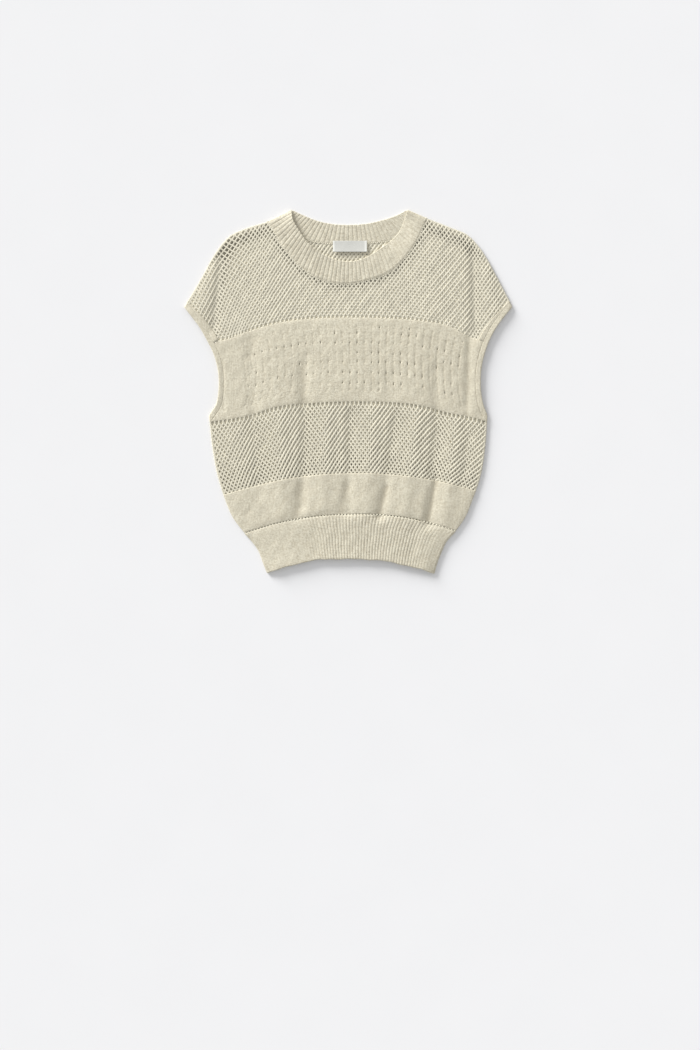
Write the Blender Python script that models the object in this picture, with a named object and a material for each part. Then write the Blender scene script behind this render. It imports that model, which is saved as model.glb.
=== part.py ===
"""Sleeveless knitted top laid flat, front side up, with its underside on z = 0.

Plan directions: +X to the right of the front as seen from above, +Y towards the neck, +Z up.
Every piece is one closed wall of cloth. Sizes are in metres.
"""

from collections import namedtuple

import bmesh
import bpy
import numpy as np

# ---------------------------------------------------------------- driving sizes
CLOTH = 0.0022              # thickness of the plain knit
MESH_SINK = 0.0003          # how much lower the open mesh lies than the plain knit
SEAM_GAP = 0.0004           # plan distance between two pieces that are sewn edge to edge
LAYER_GAP = 0.0003          # height between the back's upper face and the front's lower face
EDGE_ROUND = 0.0008         # how far a cut edge bulges beyond its two faces

CROWN = 0.0020              # how far the front stands above the back between its edges
CROWN_REACH = 0.014         # distance in from a closed edge over which it rises
MAX_LIFT = 0.0034           # highest rise of the front's lower face
OPEN_DROP = 0.45            # share of the rise that is lost at an open edge
OPEN_REACH = 0.030          # distance in from an open edge over which that share is regained

RIB_HEIGHT = 0.0007         # how far a rib stands out of its band
NECK_RIBS_FRONT = 48
NECK_RIBS_BACK = 34
HEM_RIBS = 62
RIB_FADE = 0.030            # ribs of the neckband flatten over this distance from its fold

ARMHOLE_BAND = 0.008        # width of the armhole bands
FOLD_RADIUS = 0.0026        # plan radius of a band where it folds from the front to the back
FOLD_STEPS = 3              # sections in such a fold between the two layers

BAND_STEP = 0.0018          # distance over which the cloth steps down to a band of mesh
BAND_STEP_SHARE = 0.016     # the same as a share of a band's height
PLAN_MIDDLE = np.array((0.0003, 0.0012))    # the middle of the garment's box in the tables' plan

LABEL_CENTRE = (0.0032, 0.2311)
LABEL_SIZE = (0.0540, 0.0175)
LABEL_THICKNESS = 0.0010
LABEL_REST = 0.0032         # height of its upper edge, which lies over the neckband's ribs
LABEL_DROP = 0.0006         # how much lower its free edge lies

CREAM = (0.640, 0.595, 0.475, 1.0)
LABEL_WHITE = (0.690, 0.700, 0.700, 1.0)

NECK_SHARE = 0.44           # share of a panel's columns that lies below the neck seam
CROWDING = 1.3              # how much closer the rows and columns lie near a panel's edges
UNDERARM_CLEAR = 0.001      # plan distance kept from the corner under the arm

# How finely a panel is divided: rows in the lower band, waist mesh, chest band and yoke,
# and columns below a shoulder and below the neck.
Divisions = namedtuple("Divisions", "lower waist chest yoke shoulder neck")
FRONT_DIVISIONS = Divisions(4, 6, 11, 9, 12, 26)
BACK_DIVISIONS = Divisions(3, 3, 10, 6, 10, 16)

# Half outlines of the body: the side lines from the hem's corners up to the underarms.
Side = namedtuple("Side", "height left right")
SIDES = (
    Side(-0.2864, -0.1279, 0.1368),
    Side(-0.2677, -0.1353, 0.1423),
    Side(-0.2490, -0.1428, 0.1498),
    Side(-0.2350, -0.1530, 0.1568),
    Side(-0.2210, -0.1655, 0.1695),
    Side(-0.2000, -0.1812, 0.1845),
    Side(-0.1706, -0.1941, 0.1968),
    Side(-0.1314, -0.2063, 0.2100),
    Side(-0.0866, -0.2146, 0.2170),
    Side(-0.0361, -0.2203, 0.2208),
)

# Armhole edges, from the underarms up to the tips of the caps.
ARMHOLES = (
    Side(-0.0361, -0.2203, 0.2208),
    Side(-0.0200, -0.2094, 0.2144),
    Side(0.0000, -0.2052, 0.2108),
    Side(0.0210, -0.2045, 0.2100),
    Side(0.0400, -0.2068, 0.2115),
    Side(0.0600, -0.2125, 0.2160),
    Side(0.0850, -0.2246, 0.2252),
    Side(0.1050, -0.2363, 0.2365),
    Side(0.1200, -0.2476, 0.2476),
    Side(0.1354, -0.2596, 0.2602),
)

# Shoulder lines, from the neck points out to the tips of the caps.
Shoulder = namedtuple("Shoulder", "left_x left_y right_x right_y")
SHOULDERS = (
    Shoulder(-0.0893, 0.2891, 0.0942, 0.2891),
    Shoulder(-0.1265, 0.2706, 0.1243, 0.2758),
    Shoulder(-0.1630, 0.2588, 0.1600, 0.2617),
    Shoulder(-0.1860, 0.2480, 0.1900, 0.2485),
    Shoulder(-0.2026, 0.2303, 0.2074, 0.2303),
    Shoulder(-0.2153, 0.2113, 0.2200, 0.2113),
    Shoulder(-0.2280, 0.1880, 0.2335, 0.1865),
    Shoulder(-0.2440, 0.1600, 0.2475, 0.1600),
    Shoulder(-0.2596, 0.1354, 0.2602, 0.1354),
)

# Neckband: its free edge and its seam, from the left neck point to the right one.
Neck = namedtuple("Neck", "edge_x edge_y seam_x seam_y")
NECK_FRONT = (
    Neck(-0.0893, 0.2891, -0.1265, 0.2706),
    Neck(-0.0870, 0.2735, -0.1150, 0.2500),
    Neck(-0.0790, 0.2590, -0.1030, 0.2290),
    Neck(-0.0660, 0.2395, -0.0850, 0.2085),
    Neck(-0.0450, 0.2222, -0.0580, 0.1850),
    Neck(-0.0220, 0.2110, -0.0280, 0.1735),
    Neck(0.0020, 0.2069, 0.0020, 0.1713),
    Neck(0.0260, 0.2125, 0.0320, 0.1772),
    Neck(0.0480, 0.2260, 0.0610, 0.1870),
    Neck(0.0680, 0.2405, 0.0870, 0.2085),
    Neck(0.0810, 0.2545, 0.1050, 0.2325),
    Neck(0.0885, 0.2720, 0.1165, 0.2550),
    Neck(0.0942, 0.2891, 0.1243, 0.2758),
)
NECK_BACK = (
    Neck(-0.0893, 0.2891, -0.1265, 0.2706),
    Neck(-0.0700, 0.2800, -0.1000, 0.2520),
    Neck(-0.0480, 0.2715, -0.0680, 0.2412),
    Neck(-0.0250, 0.2665, -0.0340, 0.2355),
    Neck(0.0020, 0.2652, 0.0020, 0.2344),
    Neck(0.0280, 0.2668, 0.0340, 0.2362),
    Neck(0.0520, 0.2720, 0.0690, 0.2408),
    Neck(0.0740, 0.2790, 0.1010, 0.2530),
    Neck(0.0942, 0.2891, 0.1243, 0.2758),
)

# Heights of the knitted courses that part the bands, at stations across the body.
Station = namedtuple("Station", "across hem_edge hem_seam lower_top chest_bottom chest_top")
STATIONS = (
    Station(-0.225, -0.3160, -0.2450, -0.1720, -0.0478, 0.0820),
    Station(-0.195, -0.3060, -0.2330, -0.1614, -0.0440, 0.0835),
    Station(-0.160, -0.2960, -0.2215, -0.1515, -0.0380, 0.0958),
    Station(-0.110, -0.2803, -0.2068, -0.1393, -0.0230, 0.1102),
    Station(-0.055, -0.2662, -0.1970, -0.1310, -0.0174, 0.1167),
    Station(0.000, -0.2640, -0.1932, -0.1279, -0.0152, 0.1184),
    Station(0.055, -0.2668, -0.1942, -0.1289, -0.0159, 0.1175),
    Station(0.110, -0.2790, -0.2020, -0.1348, -0.0205, 0.1139),
    Station(0.160, -0.2940, -0.2160, -0.1443, -0.0332, 0.1046),
    Station(0.195, -0.3050, -0.2290, -0.1534, -0.0400, 0.0865),
    Station(0.225, -0.3150, -0.2410, -0.1630, -0.0478, 0.0810),
)

# Folds of the front: a soft ridge or trough along the line from its start to its end.
Fold = namedtuple("Fold", "place start_x start_y end_x end_y half_width height")
FOLDS = (
    Fold("left cap trough", -0.196, 0.228, -0.216, 0.096, 0.009, -0.0015),
    Fold("left cap ridge", -0.221, 0.196, -0.236, 0.128, 0.010, 0.0008),
    Fold("left yoke swell", -0.125, 0.200, -0.135, 0.130, 0.030, 0.0008),
    Fold("right yoke swell", 0.130, 0.205, 0.125, 0.135, 0.030, 0.0008),
    Fold("right cap trough", 0.199, 0.226, 0.200, 0.090, 0.009, -0.0016),
    Fold("right armhole trough", 0.196, 0.085, 0.187, -0.020, 0.009, -0.0012),
    Fold("right armhole ridge", 0.204, 0.070, 0.205, -0.025, 0.007, 0.0010),
    Fold("left chest trough", -0.151, 0.080, -0.150, -0.030, 0.012, -0.0009),
    Fold("left chest swell", -0.112, 0.075, -0.112, -0.010, 0.020, 0.0008),
    Fold("middle chest trough", -0.068, 0.055, -0.069, -0.020, 0.011, -0.0010),
    Fold("middle chest swell", 0.000, 0.080, 0.000, 0.010, 0.030, 0.0005),
    Fold("right chest trough", 0.069, 0.025, 0.072, -0.025, 0.011, -0.0007),
    Fold("right chest swell", 0.110, 0.080, 0.106, -0.005, 0.022, 0.0008),
    Fold("right side chest trough", 0.140, 0.030, 0.142, -0.025, 0.010, -0.0008),
    Fold("left side swell", -0.190, -0.070, -0.172, -0.165, 0.014, 0.0006),
    Fold("left waist trough", -0.150, -0.050, -0.141, -0.160, 0.011, -0.0011),
    Fold("left waist ridge", -0.110, -0.045, -0.104, -0.195, 0.015, 0.0014),
    Fold("first waist trough", -0.068, -0.020, -0.074, -0.180, 0.009, -0.0020),
    Fold("first waist ridge", -0.034, -0.030, -0.040, -0.182, 0.012, 0.0013),
    Fold("second waist trough", 0.002, -0.030, 0.001, -0.188, 0.008, -0.0017),
    Fold("second waist ridge", 0.038, -0.030, 0.029, -0.187, 0.012, 0.0012),
    Fold("third waist trough", 0.074, -0.040, 0.052, -0.196, 0.009, -0.0017),
    Fold("third waist ridge", 0.108, -0.035, 0.090, -0.192, 0.012, 0.0014),
    Fold("fourth waist trough", 0.143, -0.035, 0.126, -0.208, 0.010, -0.0023),
    Fold("right waist ridge", 0.170, -0.050, 0.154, -0.190, 0.011, 0.0012),
    Fold("right side trough", 0.190, -0.070, 0.178, -0.165, 0.008, -0.0008),
    Fold("left hem swell", -0.085, -0.222, -0.078, -0.262, 0.012, 0.0006),
    Fold("left hem trough", -0.050, -0.205, -0.052, -0.262, 0.010, -0.0006),
    Fold("right hem trough", 0.108, -0.208, 0.098, -0.268, 0.010, -0.0008),
)
HEM_SEAM_DIP = 0.0008       # the body sinks to its seam with the rib
HEM_SEAM_REACH = 0.006


# ---------------------------------------------------------------- curves
def through(knots, values, where):
    """Smooth curve through the values given at rising knots, read at the places asked for."""
    knots = np.asarray(knots, float)
    values = np.asarray(values, float)
    slopes = np.gradient(values, knots, axis=0)
    where = np.clip(np.asarray(where, float), knots[0], knots[-1])
    cell = np.clip(np.searchsorted(knots, where, side="right") - 1, 0, len(knots) - 2)
    step = knots[cell + 1] - knots[cell]
    t = (where - knots[cell]) / step
    if values.ndim == 2:
        t = t[..., None]
        step = step[..., None]
    start = (2 * t**3 - 3 * t**2 + 1) * values[cell] + (t**3 - 2 * t**2 + t) * step * slopes[cell]
    end = (3 * t**2 - 2 * t**3) * values[cell + 1] + (t**3 - t**2) * step * slopes[cell + 1]
    return start + end


def along(rows, fractions):
    """Points of the smooth curve through the rows of a table, at fractions of its length."""
    rows = np.asarray(rows, float)
    lengths = np.linalg.norm(np.diff(rows, axis=0), axis=1)
    knots = np.concatenate(([0.0], np.cumsum(lengths)))
    return through(knots, rows, np.asarray(fractions) * knots[-1])


def unit(vectors):
    """The same directions with a length of one."""
    return vectors / np.linalg.norm(vectors, axis=-1, keepdims=True)


def smooth_step(value):
    """Rises from 0 to 1 without a corner."""
    t = np.clip(value, 0.0, 1.0)
    return t * t * (3 - 2 * t)


def distance_to(line, points):
    """Plan distance from each point to a line of plan points."""
    starts = line[:-1]
    steps = line[1:] - starts
    offsets = points[..., None, :] - starts
    share = np.clip((offsets * steps).sum(-1) / (steps * steps).sum(-1), 0.0, 1.0)
    return np.linalg.norm(offsets - share[..., None] * steps, axis=-1).min(-1)


# ---------------------------------------------------------------- outline
def column(table, name):
    """One named column of a table."""
    return np.array([getattr(row, name) for row in table])


def side_line(side, count=40):
    """The body's side line from the hem's corner up to the underarm."""
    heights = np.linspace(SIDES[0].height, SIDES[-1].height, count)
    across = through(column(SIDES, "height"), column(SIDES, side), heights)
    return np.stack((across, heights), axis=-1)


def armhole_edge(side, count=33):
    """The armhole's edge from the underarm up to the tip of the cap."""
    heights = np.linspace(ARMHOLES[0].height, ARMHOLES[-1].height, count)
    across = through(column(ARMHOLES, "height"), column(ARMHOLES, side), heights)
    return np.stack((across, heights), axis=-1)


def shoulder_line(side, fractions):
    """The shoulder's line from the neck point out to the tip of the cap."""
    rows = np.stack((column(SHOULDERS, side + "_x"), column(SHOULDERS, side + "_y")), axis=-1)
    return along(rows, fractions)


def armhole_seam(side, count=33):
    """The line where the armhole band meets the panels, ending on the side and shoulder lines."""
    edge = armhole_edge(side, count)
    inward = -1.0 if side == "right" else 1.0
    tangent = unit(np.gradient(edge, axis=0))
    normal = inward * np.stack((tangent[:, 1], -tangent[:, 0]), axis=-1)
    down_side = unit(side_line(side)[-3] - side_line(side)[-1])
    up_shoulder = unit(shoulder_line(side, 0.93) - shoulder_line(side, 1.0))
    distance = np.linalg.norm(edge - edge[0], axis=-1)
    near_underarm = (1.0 - smooth_step(distance / (3 * ARMHOLE_BAND)))[:, None]
    distance = np.linalg.norm(edge - edge[-1], axis=-1)
    near_tip = (1.0 - smooth_step(distance / (3 * ARMHOLE_BAND)))[:, None]
    direction = normal * (1 - near_underarm) * (1 - near_tip)
    direction = unit(direction + down_side * near_underarm + up_shoulder * near_tip)
    stretch = 1.0 / np.maximum((direction * normal).sum(-1), 0.6)
    return edge + ARMHOLE_BAND * stretch[:, None] * direction


def shoulder_share(side):
    """Fractions of the shoulder's line at the neckband's seam and at the armhole band's seam."""
    samples = np.linspace(0.0, 1.0, 401)
    line = shoulder_line(side, samples)
    neck = np.array((getattr(SHOULDERS[1], side + "_x"), getattr(SHOULDERS[1], side + "_y")))
    cap = armhole_seam(side)[-1]
    return tuple(samples[np.linalg.norm(line - end, axis=-1).argmin()] for end in (neck, cap))


def panel_edge(side):
    """A panel's outer edge from the hem's corner to the shoulder: side line, then armhole seam."""
    seam = armhole_seam(side)
    line = side_line(side, 120)
    line = line[line[:, 1] < seam[0, 1] - UNDERARM_CLEAR]
    return np.concatenate((line, seam))


def course(place, across):
    """Height of a course line at a place across the body: 0 hem edge, 1 hem seam, 2, 3, 4 chest top."""
    names = ("hem_edge", "hem_seam", "lower_top", "chest_bottom", "chest_top")
    lower = min(int(place), len(names) - 2)
    share = place - lower
    stations = column(STATIONS, "across")
    low = through(stations, column(STATIONS, names[lower]), across)
    high = through(stations, column(STATIONS, names[lower + 1]), across)
    return low * (1 - share) + high * share


def course_row(place, fractions):
    """Plan points of a course line from the left edge to the right edge."""
    ends = []
    for side in ("left", "right"):
        line = panel_edge(side)
        height = course(place, 0.0)
        for _ in range(12):
            across = np.interp(height, line[:, 1], line[:, 0])
            height = 0.5 * (height + course(place, across))
        ends.append(across)
    across = ends[0] + (ends[1] - ends[0]) * np.asarray(fractions)
    return np.stack((across, course(place, across)), axis=-1)


def outline_lines():
    """The lines of the closed edges and those of the open edges, in plan."""
    closed = []
    opened = []
    for side in ("left", "right"):
        closed.append(side_line(side))
        closed.append(shoulder_line(side, np.linspace(0.0, 1.0, 40)))
        opened.append(armhole_edge(side))
    opened.append(course_row(0.0, np.linspace(0.0, 1.0, 30)))
    opened.append(along(NECK_FRONT, np.linspace(0.0, 1.0, 40))[:, :2])
    return closed, opened


CLOSED_LINES, OPEN_LINES = outline_lines()


# ---------------------------------------------------------------- heights
def fold_height(points):
    """Sum of the folds at plan points."""
    total = np.zeros(points.shape[:-1])
    for fold in FOLDS:
        line = np.array(((fold.start_x, fold.start_y), (fold.end_x, fold.end_y)))
        total += fold.height * np.exp(-((distance_to(line, points) / fold.half_width) ** 2))
    dip = (points[..., 1] - course(1.0, points[..., 0])) / HEM_SEAM_REACH
    return total - HEM_SEAM_DIP * np.exp(-(dip**2))


def front_under(points):
    """Height of the front's lower face at plan points."""
    closed = np.min([distance_to(line, points) for line in CLOSED_LINES], axis=0)
    opened = np.min([distance_to(line, points) for line in OPEN_LINES], axis=0)
    rise = 1.0 - np.exp(-closed / CROWN_REACH)
    lift = (CROWN + fold_height(points)) * rise * (1.0 - OPEN_DROP * np.exp(-opened / OPEN_REACH))
    return CLOTH + LAYER_GAP + np.clip(lift, 0.0, MAX_LIFT)


def mesh_share(points):
    """1 in the bands of open mesh, 0 in the plain knit."""
    across = points[..., 0]
    height = points[..., 1]
    waist = smooth_step((height - course(2.0, across)) / BAND_STEP)
    waist = waist * smooth_step((course(3.0, across) - height) / BAND_STEP)
    return np.maximum(waist, smooth_step((height - course(4.0, across)) / BAND_STEP))


def front_over(points):
    """Height of the front's upper face at plan points, without ribs."""
    return front_under(points) + CLOTH - MESH_SINK * mesh_share(points)


def raised(points, heights):
    """Plan points with their heights, measured from the middle of the garment's box."""
    heights = np.broadcast_to(heights, points.shape[:-1])[..., None]
    return np.concatenate((points - PLAN_MIDDLE, heights), axis=-1)


# ---------------------------------------------------------------- solids
def material(name, colour, roughness):
    """A plain finish."""
    finish = bpy.data.materials.new(name)
    finish.use_nodes = True
    shader = finish.node_tree.nodes["Principled BSDF"]
    shader.inputs["Base Color"].default_value = colour
    shader.inputs["Roughness"].default_value = roughness
    shader.inputs["Metallic"].default_value = 0.0
    return finish


def pulled_in(grid, ring):
    """A grid whose border points are moved in by the rounding of the edge."""
    inner = grid.copy()
    inner[0] += EDGE_ROUND * unit(grid[1] - grid[0])
    inner[-1] += EDGE_ROUND * unit(grid[-2] - grid[-1])
    if not ring:
        inner[:, 0] += EDGE_ROUND * unit(grid[:, 1] - grid[:, 0])
        inner[:, -1] += EDGE_ROUND * unit(grid[:, -2] - grid[:, -1])
    return inner


def wall(name, outer, inner, finish, ring=False):
    """One closed wall between two grids of points, with a rounded rim round its border."""
    rows, columns = outer.shape[:2]
    middle = (outer + inner) / 2
    model = bmesh.new()
    faces = []
    for grid in (outer, inner):
        faces.append([[model.verts.new(point) for point in row] for row in pulled_in(grid, ring)])
    for verts in faces:
        for r in range(rows - 1):
            for c in range(columns if ring else columns - 1):
                d = (c + 1) % columns
                model.faces.new((verts[r][c], verts[r][d], verts[r + 1][d], verts[r + 1][c]))
    if ring:
        loops = [[(r, c) for c in range(columns)] for r in (0, rows - 1)]
    else:
        loop = [(0, c) for c in range(columns - 1)] + [(r, columns - 1) for r in range(rows - 1)]
        loop += [(rows - 1, c) for c in range(columns - 1, 0, -1)]
        loop += [(r, 0) for r in range(rows - 1, 0, -1)]
        loops = [loop]
    for loop in loops:
        rim = [model.verts.new(middle[place]) for place in loop]
        for side in faces:
            for k in range(len(loop)):
                n = (k + 1) % len(loop)
                (r, c), (s, d) = loop[k], loop[n]
                model.faces.new((side[r][c], side[s][d], rim[n], rim[k]))
    bmesh.ops.recalc_face_normals(model, faces=model.faces)
    bmesh.ops.triangulate(model, faces=model.faces)
    mesh = bpy.data.meshes.new(name)
    model.to_mesh(mesh)
    model.free()
    mesh.materials.append(finish)
    mesh.shade_smooth()
    mesh.set_sharp_from_angle(angle=1.0)
    piece = bpy.data.objects.new(name, mesh)
    bpy.context.scene.collection.objects.link(piece)
    return piece


def column_fractions(divisions):
    """Fractions across a panel: finer towards its edges, even below the neck."""
    shoulder = np.linspace(0.0, 1.0, divisions.shoulder + 1) ** CROWDING
    neck = np.linspace(0.0, 1.0, divisions.neck + 1)[1:-1]
    left = shoulder * (1 - NECK_SHARE) / 2
    return np.concatenate((left, left[-1] + neck * NECK_SHARE, 1.0 - left[::-1]))


def neck_seam(neck_rows, divisions):
    """The straight stitches of the neck seam, one for each column of the panel below it."""
    return along(neck_rows, np.linspace(0.0, 1.0, divisions.neck + 1))[:, 2:]


def top_edge(neck_rows, divisions):
    """A panel's top edge: left shoulder, neck seam, right shoulder."""
    share = np.linspace(0.0, 1.0, divisions.shoulder + 1) ** CROWDING
    parts = []
    for side in ("left", "right"):
        neck, cap = shoulder_share(side)
        parts.append(shoulder_line(side, cap + (neck - cap) * share))
    seam = neck_seam(neck_rows, divisions)
    tangent = unit(np.gradient(seam, axis=0))
    away = np.stack((tangent[:, 1], -tangent[:, 0]), axis=-1)
    return np.concatenate((parts[0][:-1], seam + SEAM_GAP * away, parts[1][::-1][1:]))


def panel_plan(neck_rows, divisions):
    """Plan points of a panel: rows along the courses, then rows that rise to its top edge."""
    fractions = column_fractions(divisions)
    places = []
    for band, count in enumerate((divisions.lower, divisions.waist, divisions.chest)):
        places.extend(np.linspace(1.0 + band + BAND_STEP_SHARE, 2.0 + band - BAND_STEP_SHARE, count))
    places[0] = 1.0
    rows = [course_row(place, fractions) for place in places]
    rows[0][:, 1] += SEAM_GAP
    base = course_row(4.0, fractions)
    top = top_edge(neck_rows, divisions)
    edges = [panel_edge(side) for side in ("left", "right")]
    for share in 1.0 - np.linspace(1.0, 0.0, divisions.yoke) ** CROWDING:
        row = base * (1 - share) + top * share
        for edge, end, weight in ((edges[0], 0, 1 - fractions), (edges[1], -1, fractions)):
            height = row[end, 1]
            shift = np.array((np.interp(height, edge[:, 1], edge[:, 0]) - row[end, 0], 0.0))
            row = row + (weight**3)[:, None] * shift
        rows.append(row)
    return np.stack(rows)


def seam_allowed(plan):
    """The same plan with its armhole edges drawn in by the gap of their seams."""
    spaced = plan.copy()
    for side, end, inward in (("left", 0, 1), ("right", -1, -1)):
        on_armhole = plan[:, end, 1] > armhole_seam(side)[0, 1] - UNDERARM_CLEAR
        spaced[on_armhole, end, 0] += inward * SEAM_GAP
    return spaced


def front_panel(plan, finish):
    """The front: mesh yoke, chest band, mesh waist and lower band in one wall."""
    plan = seam_allowed(plan)
    return wall("front_panel", raised(plan, front_over(plan)), raised(plan, front_under(plan)), finish)


def back_panel(plan, finish):
    """The back, flat on the surface under the front."""
    plan = seam_allowed(plan)
    return wall("back_panel", raised(plan, 0.0), raised(plan, CLOTH), finish)


def drawn_in(plan):
    """A band's plan whose sections near its two ends move along their rows to leave room for the folds."""
    drawn = []
    for row in plan:
        lengths = np.concatenate(([0.0], np.cumsum(np.linalg.norm(np.diff(row, axis=0), axis=1))))
        from_end = lengths[-1] - lengths
        places = np.hypot(lengths, FOLD_RADIUS) + from_end - np.hypot(from_end, FOLD_RADIUS)
        drawn.append(np.stack([np.interp(places, lengths, row[:, k]) for k in (0, 1)], axis=-1))
    return np.stack(drawn)


def fold_sections(crease, start, outer_top, inner_top):
    """Sections of a band where it folds from the front down to the back along a crease."""
    outward = crease - start
    sections = []
    for angle in np.linspace(np.pi / 2, -np.pi / 2, FOLD_STEPS + 2)[1:-1]:
        reach = np.cos(angle)
        share = (1 + np.sin(angle)) / 2
        outer = raised(start + reach * outward, outer_top * share)
        inner_reach = reach * (1 - CLOTH / FOLD_RADIUS)
        inner = raised(start + inner_reach * outward, CLOTH + (inner_top - CLOTH) * share)
        sections.append((outer, inner))
    return sections


def band_ring(name, front, back, finish, front_ribs=0, back_ribs=0):
    """A band that runs round an opening and lies folded flat, with ribs on its upper faces."""
    creases = front[:, 0], front[:, -1]
    front = drawn_in(front)
    back = drawn_in(back)
    outer_front = raised(front, front_over(front))
    inner_front = raised(front, front_under(front))
    outer_back = raised(back, 0.0)
    inner_back = raised(back, CLOTH)
    for grid, ribs in ((outer_front, front_ribs), (inner_back, back_ribs)):
        if ribs:
            ends = [np.linalg.norm(grid[..., :2] - grid[:, end, None, :2], axis=-1) for end in (0, -1)]
            fade = smooth_step(np.minimum(*ends) / RIB_FADE)
            grid[:, 1::2, 2] += RIB_HEIGHT * fade[:, 1::2]
    right = fold_sections(creases[1], front[:, -1], outer_front[:, -1, 2], inner_front[:, -1, 2])
    left = fold_sections(creases[0], front[:, 0], outer_front[:, 0, 2], inner_front[:, 0, 2])[::-1]
    grids = []
    for k, (top, bottom) in enumerate(((outer_front, outer_back), (inner_front, inner_back))):
        parts = [top]
        parts.extend(section[k][:, None] for section in right)
        parts.append(bottom[:, ::-1])
        parts.extend(section[k][:, None] for section in left)
        grids.append(np.concatenate(parts, axis=1))
    return wall(name, grids[0], grids[1], finish, ring=True)


def across_band(edge, seam, rows):
    """Plan rows from a band's free edge to its seam."""
    return np.stack([edge + (seam - edge) * share for share in np.linspace(0.0, 1.0, rows)])


def neckband(finish):
    """The rib ring round the neck, whose seam follows the panels' stitches."""
    plans = []
    for table, ribs, divisions in (
        (NECK_FRONT, NECK_RIBS_FRONT, FRONT_DIVISIONS),
        (NECK_BACK, NECK_RIBS_BACK, BACK_DIVISIONS),
    ):
        fractions = np.linspace(0.0, 1.0, 2 * ribs + 1)
        stitches = neck_seam(table, divisions)
        knots = np.linspace(0.0, 1.0, divisions.neck + 1)
        seam = np.stack([np.interp(fractions, knots, stitches[:, k]) for k in (0, 1)], axis=-1)
        plans.append(across_band(along(table, fractions)[:, :2], seam, 3))
    return band_ring("neckband", plans[0], plans[1], finish, NECK_RIBS_FRONT, NECK_RIBS_BACK)


def hem_rib(finish):
    """The rib tube below the body."""
    places = np.linspace(0.0, 1.0, 4)
    front = np.stack([course_row(place, np.linspace(0.0, 1.0, 2 * HEM_RIBS + 1)) for place in places])
    back = np.stack([course_row(place, np.linspace(0.0, 1.0, 25)) for place in places])
    return band_ring("hem_rib", front, back, finish, front_ribs=HEM_RIBS)


def armhole_band(side, panels, finish):
    """The narrow plain ring round an armhole, whose seam follows the panels' edges."""
    end = 0 if side == "left" else -1
    plans = []
    for panel, sections in zip(panels, (25, 17)):
        edge = armhole_edge(side, sections)
        seam = armhole_seam(side, sections)
        stitches = panel[:, end]
        stitches = stitches[stitches[:, 1] > seam[0, 1]]
        stitches = np.concatenate((seam[:1], stitches))
        seam[:, 0] = np.interp(seam[:, 1], stitches[:, 1], stitches[:, 0])
        plans.append(across_band(edge, seam, 2))
    return band_ring("armhole_band_" + side, plans[0], plans[1], finish)


def neck_label(finish):
    """The small folded label inside the back of the neck."""
    across = LABEL_CENTRE[0] + LABEL_SIZE[0] * np.linspace(-0.5, 0.5, 7)
    heights = LABEL_CENTRE[1] + LABEL_SIZE[1] * np.linspace(-0.5, 0.5, 4)
    plan = np.stack(np.meshgrid(across, heights), axis=-1)
    share = (plan[..., 1] - heights[0]) / LABEL_SIZE[1]
    under = LABEL_REST - LABEL_DROP * (1 - share) ** 2
    return wall("neck_label", raised(plan, under + LABEL_THICKNESS), raised(plan, under), finish)


def main():
    for thing in list(bpy.data.objects):
        bpy.data.objects.remove(thing, do_unlink=True)
    knit = material("cream_knit", CREAM, 0.9)
    mesh_knit = material("cream_mesh_knit", CREAM, 0.9)
    rib = material("cream_rib", CREAM, 0.9)
    satin = material("label_satin", LABEL_WHITE, 0.5)
    front = panel_plan(NECK_FRONT, FRONT_DIVISIONS)
    back = panel_plan(NECK_BACK, BACK_DIVISIONS)
    back_panel(back, mesh_knit)
    front_panel(front, mesh_knit)
    neckband(rib)
    hem_rib(rib)
    for side in ("left", "right"):
        armhole_band(side, (front, back), knit)
    neck_label(satin)


main()
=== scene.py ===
"""Cream knitted summer top laid flat: its yarns, ribs, seams and finishes over the fixed solids.

Sizes are in metres. +X points to the right of the front as seen from above, +Y towards the neck.
"""

from collections import namedtuple

import bmesh
import bpy
import numpy as np
from bpy.props import FloatProperty, FloatVectorProperty, IntProperty, PointerProperty
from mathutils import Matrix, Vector


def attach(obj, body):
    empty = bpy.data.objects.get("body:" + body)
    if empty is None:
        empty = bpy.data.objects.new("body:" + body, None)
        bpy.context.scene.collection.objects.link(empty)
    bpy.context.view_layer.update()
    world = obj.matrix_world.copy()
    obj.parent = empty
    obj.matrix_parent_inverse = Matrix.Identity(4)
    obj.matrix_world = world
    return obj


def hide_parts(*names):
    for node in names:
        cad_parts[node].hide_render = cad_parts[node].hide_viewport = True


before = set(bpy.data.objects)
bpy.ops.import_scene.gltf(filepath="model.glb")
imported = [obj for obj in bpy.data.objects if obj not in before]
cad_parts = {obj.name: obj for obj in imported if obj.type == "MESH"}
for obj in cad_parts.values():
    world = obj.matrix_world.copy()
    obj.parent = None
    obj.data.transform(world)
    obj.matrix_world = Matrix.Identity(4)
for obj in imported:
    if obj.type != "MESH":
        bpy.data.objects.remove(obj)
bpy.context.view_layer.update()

bl_info = {
    "name": "Knitted summer top",
    "version": (1, 0, 0),
    "blender": (4, 5, 0),
    "location": "3D View > Sidebar > Knitted top",
    "description": "Builds the yarns, ribs, seams and finishes of a knitted top that is laid flat",
    "category": "Object",
}

# ---------------------------------------------------------------- driving sizes
CLOTH = 0.0022              # thickness of the plain knit
SEAM_GAP = 0.0004           # plan distance between two pieces that are sewn edge to edge
LAYER_GAP = 0.0003          # height between the back's upper face and the front's lower face

CROWN = 0.0020              # how far the front stands above the back between its edges
CROWN_REACH = 0.014         # distance in from a closed edge over which it rises
MAX_LIFT = 0.0034           # highest rise of the front's lower face
OPEN_DROP = 0.45            # share of the rise that is lost at an open edge
OPEN_REACH = 0.030          # distance in from an open edge over which that share is regained

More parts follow.
